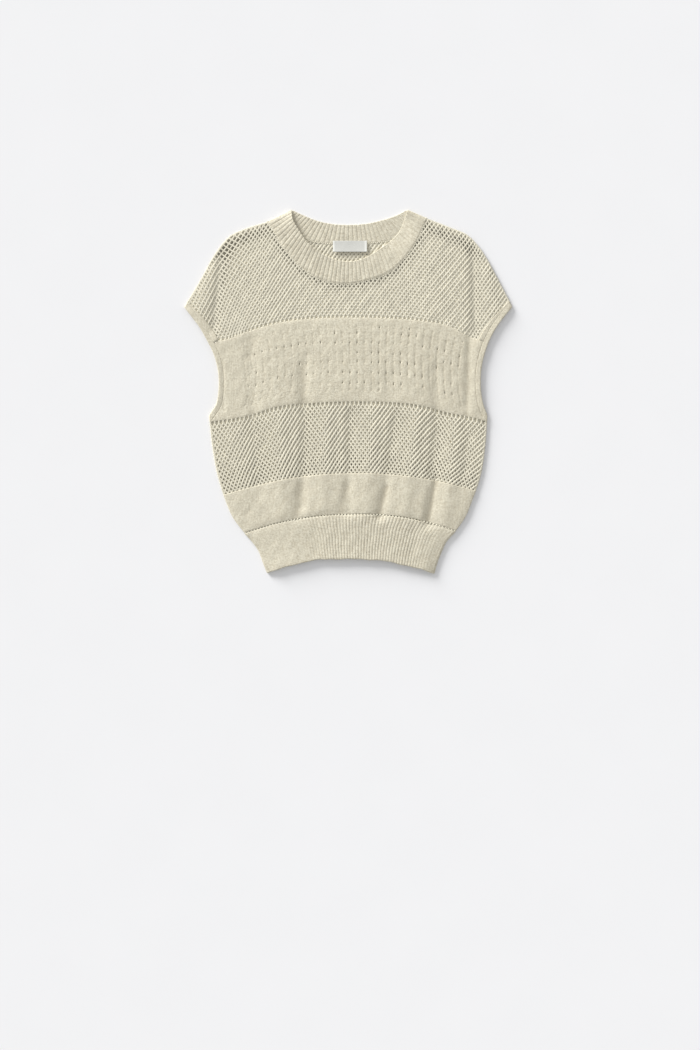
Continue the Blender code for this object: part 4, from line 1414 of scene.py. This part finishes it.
def yoke_outline(neck_table, stubbed):
    """The closed outline of a yoke's net, which stops short of the chest where stubs tie it."""
    left = cap_strip("left")[1]
    right = cap_strip("right")[1]
    bottom = np.linspace(left[0, 0], right[0, 0], 90)
    start = np.full(len(bottom), -BACK_SPARE)
    if stubbed:
        start = np.where(bottom < YOKE_LEVEL + 0.002, STUB - 0.0007, -0.0006)
    return np.concatenate((
        np.stack((bottom, course(4.0, bottom) + start), axis=-1),
        right,
        set_in(shoulder_cord("right", 30)[::-1], NET_INSET),
        neck_line(neck_table, 60, seam=True)[::-1],
        set_in(shoulder_cord("left", 30), NET_INSET),
        left[::-1],
    ))


def band_stubs(row, number, upward):
    """The stubs of a grid's outer row: from its crossings to the band."""
    crossings = row[number % 2::2]
    if not upward:
        crossings = crossings[crossings[:, 0] < YOKE_LEVEL]
    way = WAIST_STUB + WAIST_STUB_UNDER if upward else -STUB - STUB_UNDER
    return [(point, point + np.array((0.0, way))) for point in crossings]


def shoulder_cord(side, count=60):
    """Plan line of a shoulder's edge between the neckband and the armhole band."""
    neck, cap = shoulder_share(side)
    return shoulder_line(side, np.linspace(neck, cap, count))


def side_cord(side, low, high):
    """Plan line of the body's side between two courses."""
    return np.stack([course_row(place, (0.0, 1.0))[0 if side == "left" else 1]
                     for place in np.linspace(low, high, 40)])


def set_in(line, distance):
    """A line moved towards the middle of the garment."""
    tangent = unit(np.gradient(line, axis=0))
    normal = np.stack((tangent[:, 1], -tangent[:, 0]), axis=-1)
    facing = np.sign((normal * (WELL_INSIDE - line)).sum(-1, keepdims=True))
    return line + distance * facing * normal


# ---------------------------------------------------------------- operators
class KNIT_OT_nets(bpy.types.Operator):
    """Knit the open nets of the yoke and the waist, front and back"""

    bl_idname = "knit_top.nets"
    bl_label = "Open nets"

    def execute(self, context):
        material = finish_named("cream_net_yarn", net_yarn)
        shoulders = [shoulder_cord(side) for side in BOTH_SIDES]
        sides = [side_cord(side, 2.0, 3.0) for side in BOTH_SIDES]
        for layer, neck_table in (("front", NECK_FRONT), ("back", NECK_BACK)):
            front = layer == "front"
            grid = yoke_grid()
            stubs = band_stubs(grid[YOKE_SPARE], 0, False) if front else []
            if not front:
                grid[..., 1] -= BACK_DROP
            net(layer, "yoke", grid, yoke_outline(neck_table, front), material, shoulders, stubs)
            grid = waist_grid(WAIST_STUB if front else -BACK_SPARE)
            net(layer, "waist", grid, None, material, sides, band_stubs(grid[-1], len(grid) - 1, True))
        return {"FINISHED"}


def plain_wall(layer, part, plan, full, material, relief=None, left_open=None):
    """A wall of plain knit over a plan grid, with its relief and the painted shade of its hollows and
    sharp creases.
    """
    relief = np.zeros(plan.shape[:-1]) if relief is None else relief
    # Painted shade: hollows of the relief, and on the front its sharp creases, are darkened in the
    # colour through the knit attribute.
    hollow = np.clip(-relief / HOLLOW_SHADE_DEPTH, 0.0, 1.0)
    low = np.full(plan.shape[:-1], BACK_REST)
    if layer == "front":
        low = front_under(plan) + puckers(plan)
        sharp = [fold for fold in CREASES if fold.half_width < WIDE_FALL]
        hollow = np.maximum(hollow, np.clip(-rise_of(sharp, plan) / CREST, 0.0, 1.3) ** 1.8)
    middle = low + CLOTH / 2
    half = CLOTH / 2 * full
    knit = np.stack((plan[..., 0] / WALE, plan[..., 1] / COURSE, hollow), axis=-1)
    piece = shell(layer + "_" + part, raised(plan, middle + half + relief), raised(plan, middle - half),
                  (knit, knit), left_open=left_open)
    keep(piece, material, layer + "_panel")


def plain_band(layer, part, place, width, ends, material, spare=0.0):
    """A plain band from one course up to the next, rounded along all its edges."""
    cell = FINE_CELL if layer == "front" else COARSE_CELL
    columns, full_across = rounded(width, cell, PANEL_ROUND, PANEL_ROUND)
    rows, full_along = rounded(band_height(place), cell, *ends)
    plan = band_plan(place + rows, columns)
    plan[..., 1] += spare * (1 - rows[:, None])
    plain_wall(layer, part, plan, np.minimum(full_along[:, None], full_across[None]), material)


def chest_band(material):
    """The front's chest band: fine plain knit with columns of small eyelets and shallow ladders."""
    sizes = bpy.context.scene.knit_sizes
    cells = EYELET_COLUMNS * EYELET_CELLS
    fractions = np.linspace(0.0, 1.0, cells + 1)
    places = 3.0 + np.linspace(0.0, 1.0, CHEST_ROWS + 1)
    plan = band_plan(places, fractions)
    chance = np.random.default_rng(sizes.seed + 2)
    relief = np.zeros(plan.shape[:-1])
    left_open = np.zeros((CHEST_ROWS, cells), bool)
    moved = plan.copy()
    rows = np.arange(CHEST_ROWS + 1)
    for number in range(3, EYELET_COLUMNS - 2):
        first = number * EYELET_CELLS + EYELET_CELLS // 2
        share = fractions[first]
        wave = chance.uniform(0.0, 2 * np.pi)
        depth = LADDER_DEPTH + LADDER_GAIN * smooth_step((share - 0.40) / 0.35)
        depth = depth * (0.6 + 0.4 * np.sin(rows / 7.0 + wave))
        reach = smooth_step((rows - 8) / 12.0) * smooth_step((CHEST_ROWS - 6 - rows) / 14.0)
        for offset, part in LADDER:
            relief[:, first + offset] -= depth * reach * part
        for row in EYELET_ROWS:
            odds = row.left + (row.right - row.left) * smooth_step((share - 0.30) / 0.25)
            middle = int(round((row.place - 3.0) * CHEST_ROWS + chance.uniform(-0.8, 0.8)))
            length = EYELET_LENGTH + int(chance.random() < 0.3) - int(chance.random() < 0.25)
            low = middle - length // 2
            high = low + length
            if chance.random() >= odds:
                relief[low:high + 1, first:first + 2] -= EYELET_DENT
                continue
            left_open[low:high, first] = True
            width = moved[low:high + 1, first + 1] - moved[low:high + 1, first]
            bow = np.sin(np.pi * np.linspace(0.0, 1.0, high - low + 1))[:, None]
            pinch = 0.45 - chance.uniform(0.22, 0.36) * bow
            moved[low:high + 1, first] += width * pinch
            moved[low:high + 1, first + 1] -= width * pinch
            relief[low - 1:high + 2, first:first + 2] -= EYELET_DENT
    inner = smooth_step((np.minimum(fractions, 1 - fractions) - 0.006) / 0.012)
    full = 1 - 0.6 * np.exp(-np.minimum(rows, CHEST_ROWS - rows) / 1.6)[:, None] * inner
    full[:, [0, -1]] *= 0.7
    plain_wall("front", "chest_band", moved, full, material, relief, left_open)


def cap_strips(layer, material):
    """The plain strips along the caps, between the net and the armhole bands."""
    shares, full = rounded(*STRIP_FACES)
    for side in BOTH_SIDES:
        seam, inner = cap_strip(side)
        inner = inner + unit(inner - seam) * STRIP_LAP
        plan = np.stack([evenly(row, 60) for row in across_band(seam, inner, shares)], axis=1)
        lowest = -int(np.argmin(plan[[0, -1], 0, 1]))
        plan[lowest, :, 1] -= STRIP_UNDER
        plain_wall(layer, "cap_strip_" + side, plan, full, material)


class KNIT_OT_plain_bands(bpy.types.Operator):
    """Knit the plain bands of the front and the back, with the eyelets of the chest"""

    bl_idname = "knit_top.plain_bands"
    bl_label = "Plain bands"

    def execute(self, context):
        material = finish_named("cream_plain_knit", plain_knit)
        chest_band(material)
        for layer in ("front", "back"):
            plain_band(layer, "lower_band", 1.0, LOWER_WIDTH, (LOWER_ROUND, BAND_ROUND), material,
                       SEAM_GAP + HEM_SEAM_SPARE)
        plain_band("back", "chest_band", 3.0, CHEST_WIDTH, (BAND_ROUND, BAND_ROUND), material)
        for layer in ("front", "back"):
            cap_strips(layer, material)
        return {"FINISHED"}


def drawn_in(plan):
    """A band's plan whose sections near its two ends move along their rows to leave room for folds."""
    drawn = []
    for row in plan:
        lengths = run_lengths(row)
        from_end = lengths[-1] - lengths
        places = np.hypot(lengths, FOLD_RADIUS) + from_end - np.hypot(from_end, FOLD_RADIUS)
        drawn.append(points_at(row, lengths, places))
    return np.stack(drawn)


def fold_sections(crease, start, outer_top, inner_top):
    """Plan and heights of a band where it folds from the front down to the back along a crease."""
    outward = crease - start
    sections = []
    for angle in np.linspace(np.pi / 2, -np.pi / 2, FOLD_STEPS + 2)[1:-1]:
        reach = np.cos(angle)
        share = (1 + np.sin(angle)) / 2
        outer = raised(start + reach * outward, outer_top * share)
        inner_reach = reach * (1 - CLOTH / FOLD_RADIUS)
        inner = raised(start + inner_reach * outward, CLOTH + (inner_top - CLOTH) * share)
        sections.append((outer, inner))
    return sections


def rib_numbers(ribs, plans):
    """Rib numbers round a folded ring: front, fold, back and fold."""
    numbers = []
    start = 0
    fold = np.linspace(0.0, 1.0, FOLD_STEPS + 2)[1:-1]
    for count, plan in zip(ribs, plans):
        numbers.append(start + np.linspace(0.0, count, plan.shape[1]))
        numbers.append(start + count + fold)
        start += count + 1
    return np.concatenate(numbers)


def around(plans, front, fold, back):
    """Values round a folded ring, from those along its front, in a fold and along its back."""
    folds = np.full(FOLD_STEPS, fold)
    front, back = [np.broadcast_to(values, plan.shape[1]) for values, plan in zip((front, back), plans)]
    return np.concatenate((front, folds, back, folds))


def band_ring(name, plans, full, ribs, weights, courses, reach, curl):
    """A band that runs round an opening and lies folded flat.

    Its knit attribute holds the ribs, which reach full height only where its rows let them.
    The front is raised by its curl."""
    creases = plans[0][:, 0], plans[0][:, -1]
    front, back = [drawn_in(plan) for plan in plans]
    curl = curl * from_ends(np.linspace(0.0, 1.0, front.shape[1]), 0.06)
    low = front_under(front) + puckers(front) + curl
    outer_front = raised(front, low + CLOTH)
    inner_front = raised(front, low)
    left, right = [fold_sections(crease, front[:, end], outer_front[:, end, 2], inner_front[:, end, 2])
                   for crease, end in zip(creases, (0, -1))]
    grids = []
    for k, (top, bottom) in enumerate((
            (outer_front, raised(back, 0.0)), (inner_front, raised(back, CLOTH)))):
        parts = [top]
        parts.extend(section[k][:, None] for section in right)
        parts.append(bottom[:, ::-1])
        parts.extend(section[k][:, None] for section in left[::-1])
        grids.append(np.concatenate(parts, axis=1))
    middle = (grids[0] + grids[1]) / 2
    outer, inner = [middle + (grid - middle) * full[:, None, None] for grid in grids]
    across = np.broadcast_to(rib_numbers(ribs, plans), outer.shape[:2])
    up = np.broadcast_to(courses[:, None], outer.shape[:2])
    knit = [np.stack((across, up, weight * reach[:, None]), axis=-1) for weight in weights]
    return shell(name, outer, inner, knit, ring=True)


def across_band(edge, seam, shares):
    """Plan rows from a band's free edge to its seam."""
    return np.stack([edge + (seam - edge) * share for share in shares])


def neck_plan(table, count, shares):
    """Plan grid of the neckband's front or back."""
    return across_band(neck_line(table, count), neck_line(table, count, seam=True), shares)


def keep_ribbed(piece, height, stitch, node):
    """Raises the ribs of a band and keeps it."""
    material = finish_named("cream_rib_knit", rib_knit)
    with_tree(piece, tree_named("Rib relief", rib_tree), {
        "Rib height": height, "Stitch height": stitch, "Material": material})
    keep(piece, material, node)


class KNIT_OT_neckband(bpy.types.Operator):
    """Knit the ribbed ring round the neck"""

    bl_idname = "knit_top.neckband"
    bl_label = "Neckband"

    def execute(self, context):
        shares, full = rounded(NECK_WIDTH, NECK_CELL, *NECK_ROUND)
        ribs = NECK_RIBS_FRONT, NECK_RIBS_BACK
        plans = [neck_plan(table, RIB_CELLS * count + 1, shares)
                 for table, count in zip((NECK_FRONT, NECK_BACK), ribs)]
        place, back_place = [np.linspace(0.0, 1.0, plan.shape[1]) for plan in plans]
        flat_right = 1.0 - 0.35 * smooth_step((place - 0.55) / 0.3)
        weights = (around(plans, flat_right * (0.4 + 0.6 * from_ends(place, 0.02)), 0.55, 0.0),
                   around(plans, 0.0, 0.0, 0.95 * from_ends(back_place, 0.03)))
        edge = NECK_CURL - 0.0028 * smooth_step((place - 0.10) / 0.35)
        edge -= 0.0008 * smooth_step((place - 0.50) / 0.15)
        sunk = front_under(plans[0]) - 0.0005
        away = 1 - shares[:, None]
        lying = smooth_step((place - 0.71) / 0.08) * smooth_step((1 - place) / 0.05)
        curl = edge * away**3 * (1 - lying) - sunk * away**1.6 * lying
        curl -= 0.0005 * smooth_step((shares[:, None] - 0.90) / 0.10)
        reach = full**2 * smooth_step((1 - shares) * NECK_WIDTH / 0.0032)
        piece = band_ring("neckband_ribs", plans, full, ribs, weights, shares * NECK_WIDTH / RIB_COURSE,
                          reach, curl)
        keep_ribbed(piece, context.scene.knit_sizes.neck_rib, NECK_STITCH_HEIGHT, "neckband")
        return {"FINISHED"}


class KNIT_OT_hem_rib(bpy.types.Operator):
    """Knit the ribbed tube below the body"""

    bl_idname = "knit_top.hem_rib"
    bl_label = "Hem rib"

    def execute(self, context):
        width = band_height(0.0)
        shares, full = rounded(width, HEM_CELL, *HEM_ROUND)
        plans = [band_plan(shares, np.linspace(0.0, 1.0, HEM_RIBS * cells + 1))
                 for cells in (HEM_RIB_CELLS, HEM_BACK_CELLS)]
        for plan in plans:
            across = plan[..., 0]
            wave = np.sin(118 * across + 0.9) + 0.6 * np.sin(263 * across + 2.0)
            plan[..., 1] += 0.0005 * wave * (1 - shares[:, None]) ** 2 - HEM_SEAM_SPARE * shares[:, None]
        place = np.linspace(0.0, 1.0, plans[0].shape[1])
        outer = 0.10 + 0.90 * smooth_step((place - 0.20) / 0.20)
        outer *= 0.15 + 0.85 * smooth_step((0.98 - place) / 0.16)
        weights = around(plans, outer, 0.0, 0.0), around(plans, 0.0, 0.0, 0.0)
        piece = band_ring("hem_rib_tube", plans, full, (HEM_RIBS, HEM_RIBS), weights,
                          shares * width / RIB_COURSE, full**2, HEM_CURL * (1 - shares[:, None]) ** 3)
        keep_ribbed(piece, context.scene.knit_sizes.hem_rib, HEM_STITCH_HEIGHT, "hem_rib")
        return {"FINISHED"}


class KNIT_OT_armhole_bands(bpy.types.Operator):
    """Knit the narrow plain rings round the armholes"""

    bl_idname = "knit_top.armhole_bands"
    bl_label = "Armhole bands"

    def execute(self, context):
        material = finish_named("cream_plain_knit", plain_knit)
        shares, full = rounded(ARMHOLE_BAND, ARMHOLE_CELL, *ARMHOLE_ROUND)
        for side in BOTH_SIDES:
            plans = []
            for sections in ARMHOLE_SECTIONS:
                seam = armhole_seam(side, sections)
                seam[1:-1, 0] += INWARD[side] * ARMHOLE_LAP
                plans.append(across_band(armhole_edge(side, sections), seam, shares))
            plain = around(plans, 0.0, 0.0, 0.0)
            piece = band_ring("armhole_trim_" + side, plans, full, (ARMHOLE_WALES, ARMHOLE_WALES),
                              (plain, plain), shares * ARMHOLE_BAND / COURSE, full,
                              ARMHOLE_CURL * (1 - shares[:, None]))
            keep(piece, material, "armhole_band_" + side)
        return {"FINISHED"}


class KNIT_OT_seams(bpy.types.Operator):
    """Link the pieces with rows of small stitches"""

    bl_idname = "knit_top.seams"
    bl_label = "Seams"

    def execute(self, context):
        material = finish_named("cream_link_yarn", link_yarn)
        front_neck = neck_line(NECK_FRONT, SEAM_POINTS, seam=True)
        hem = course_row(1.0, np.linspace(0.005, 0.995, SEAM_POINTS))
        on_front = raised(front_neck, front_under(front_neck) + CLOTH - NECK_STITCH_SINK)
        on_back = raised(neck_line(NECK_BACK, SEAM_POINTS, seam=True), CLOTH)
        on_hem = raised(hem, front_under(hem) + CLOTH - HEM_STITCH_SINK)
        pitch = context.scene.knit_sizes.stitch_pitch
        rows = (
            ("neck_seam_front", on_front, pitch, (pitch,) + NECK_STITCH, NECK_STITCH_SLANT, "neckband"),
            ("neck_seam_back", on_back, pitch, (pitch,) + BACK_STITCH, NECK_STITCH_SLANT, "neckband"),
            ("hem_seam_front", on_hem, HEM_STITCH_PITCH, HEM_STITCH, 0.0, "hem_rib"),
        )
        for name, line, step, (length, width, height), slant, node in rows:
            points, edges = joined([line])
            piece = new_piece(name, points, edges, [])
            with_tree(piece, tree_named("Stitch row", stitch_tree), {
                "Pitch": step, "Length": length, "Width": width, "Height": height,
                "Slant": slant, "Material": material})
            keep(piece, material, node)
        return {"FINISHED"}


class KNIT_OT_neck_label(bpy.types.Operator):
    """Sew the small blank label inside the back of the neck"""

    bl_idname = "knit_top.neck_label"
    bl_label = "Neck label"

    def execute(self, context):
        (columns, full_across), (rows, full_along) = [
            rounded(size, cell, LABEL_ROUND, LABEL_ROUND) for size, cell in zip(LABEL_SIZE, LABEL_CELLS)]
        across = LABEL_CENTRE[0] + LABEL_SIZE[0] * (columns - 0.5)
        heights = LABEL_CENTRE[1] + LABEL_SIZE[1] * (rows - 0.5)
        plan = np.stack(np.meshgrid(across, heights), axis=-1)
        end = np.minimum(columns, 1 - columns)[None] * LABEL_SIZE[0]
        flap = smooth_step((LABEL_FLAP - end) / 0.0005)
        free = 1 - rows[:, None]
        under = LABEL_REST + LABEL_CURL * free**2 + 0.00025 * np.sin(columns * 7.0 + 0.6)[None] * free
        full = np.minimum(full_along[:, None], full_across[None])
        thickness = (LABEL_THICKNESS - LABEL_TAPE + LABEL_TAPE * flap) * full
        middle = under + LABEL_THICKNESS / 2
        top = raised(plan, middle + thickness / 2)
        knit = np.zeros(top.shape)
        knit[..., 0] = flap
        piece = shell("woven_label", top, raised(plan, middle - thickness / 2), (knit, knit))
        keep(piece, finish_named("label_tape", woven_label), "neck_label")
        return {"FINISHED"}


class KNIT_OT_cuts(bpy.types.Operator):
    """Work out the plan areas of the chest band and of the hem's rib, which nothing then uses"""

    bl_idname = "knit_top.cuts"
    bl_label = "Flat cuts"

    def execute(self, context):
        fractions = np.linspace(0.0, 1.0, 60)
        chest = band_plan(np.linspace(3.0, 4.0, 20), fractions)
        hem = 2 * plan_area(band_plan(np.linspace(0.0, 1.0, 20), fractions))
        return {"FINISHED"}


class KNIT_OT_stage(bpy.types.Operator):
    """Set the floor, the light and the camera"""

    bl_idname = "knit_top.stage"
    bl_label = "Floor, light and camera"

    def execute(self, context):
        scene = context.scene
        model = bmesh.new()
        bmesh.ops.create_circle(model, cap_ends=True, segments=96, radius=FLOOR_RADIUS)
        mesh = bpy.data.meshes.new("floor")
        model.to_mesh(mesh)
        model.free()
        mesh.materials.append(finish_named("paper_floor", paper_floor))
        placed("floor", mesh)

        world = bpy.data.worlds.new("soft room")
        world.use_nodes = True
        sky = world.node_tree.nodes["Background"]
        sky.inputs["Color"].default_value = SKY_COLOUR
        sky.inputs["Strength"].default_value = SKY_STRENGTH
        scene.world = world

        sun = bpy.data.lights.new("window", "SUN")
        sun.energy = SUN_STRENGTH
        sun.angle = SUN_SPREAD
        sun.color = SUN_COLOUR
        placed("window", sun).rotation_euler = Vector(SUN_TOWARDS).to_track_quat("-Z", "Y").to_euler()

        camera = bpy.data.cameras.new("camera")
        camera.lens = CAMERA_LENS
        camera.sensor_width = CAMERA_SENSOR
        camera.clip_start = 0.1
        camera.clip_end = 50.0
        scene.camera = placed("camera", camera)
        scene.camera.location = CAMERA_PLACE
        scene.view_settings.view_transform = "Standard"
        return {"FINISHED"}


class KNIT_PT_top(bpy.types.Panel):
    """Buttons that build the top piece by piece"""

    bl_label = "Knitted top"
    bl_idname = "KNIT_PT_top"
    bl_space_type = "VIEW_3D"
    bl_region_type = "UI"
    bl_category = "Knitted top"

    def draw(self, context):
        for group in (context.scene.knit_sizes, context.scene.knit_colours):
            for name in group.__annotations__:
                self.layout.prop(group, name)
        for step in STEPS:
            self.layout.operator(step.bl_idname)


STEPS = (
    KNIT_OT_stage,
    KNIT_OT_nets,
    KNIT_OT_plain_bands,
    KNIT_OT_neckband,
    KNIT_OT_hem_rib,
    KNIT_OT_armhole_bands,
    KNIT_OT_seams,
    KNIT_OT_neck_label,
    KNIT_OT_cuts,
)
CLASSES = (KnitSizes, KnitColours) + STEPS + (KNIT_PT_top,)


def register():
    for item in CLASSES:
        bpy.utils.register_class(item)
    bpy.types.Scene.knit_sizes = PointerProperty(type=KnitSizes)
    bpy.types.Scene.knit_colours = PointerProperty(type=KnitColours)


def unregister():
    del bpy.types.Scene.knit_colours
    del bpy.types.Scene.knit_sizes
    for item in reversed(CLASSES):
        bpy.utils.unregister_class(item)


def main():
    register()
    for step in STEPS:
        group, name = step.bl_idname.split(".")
        getattr(getattr(bpy.ops, group), name)()


if __name__ == "__main__":
    main()
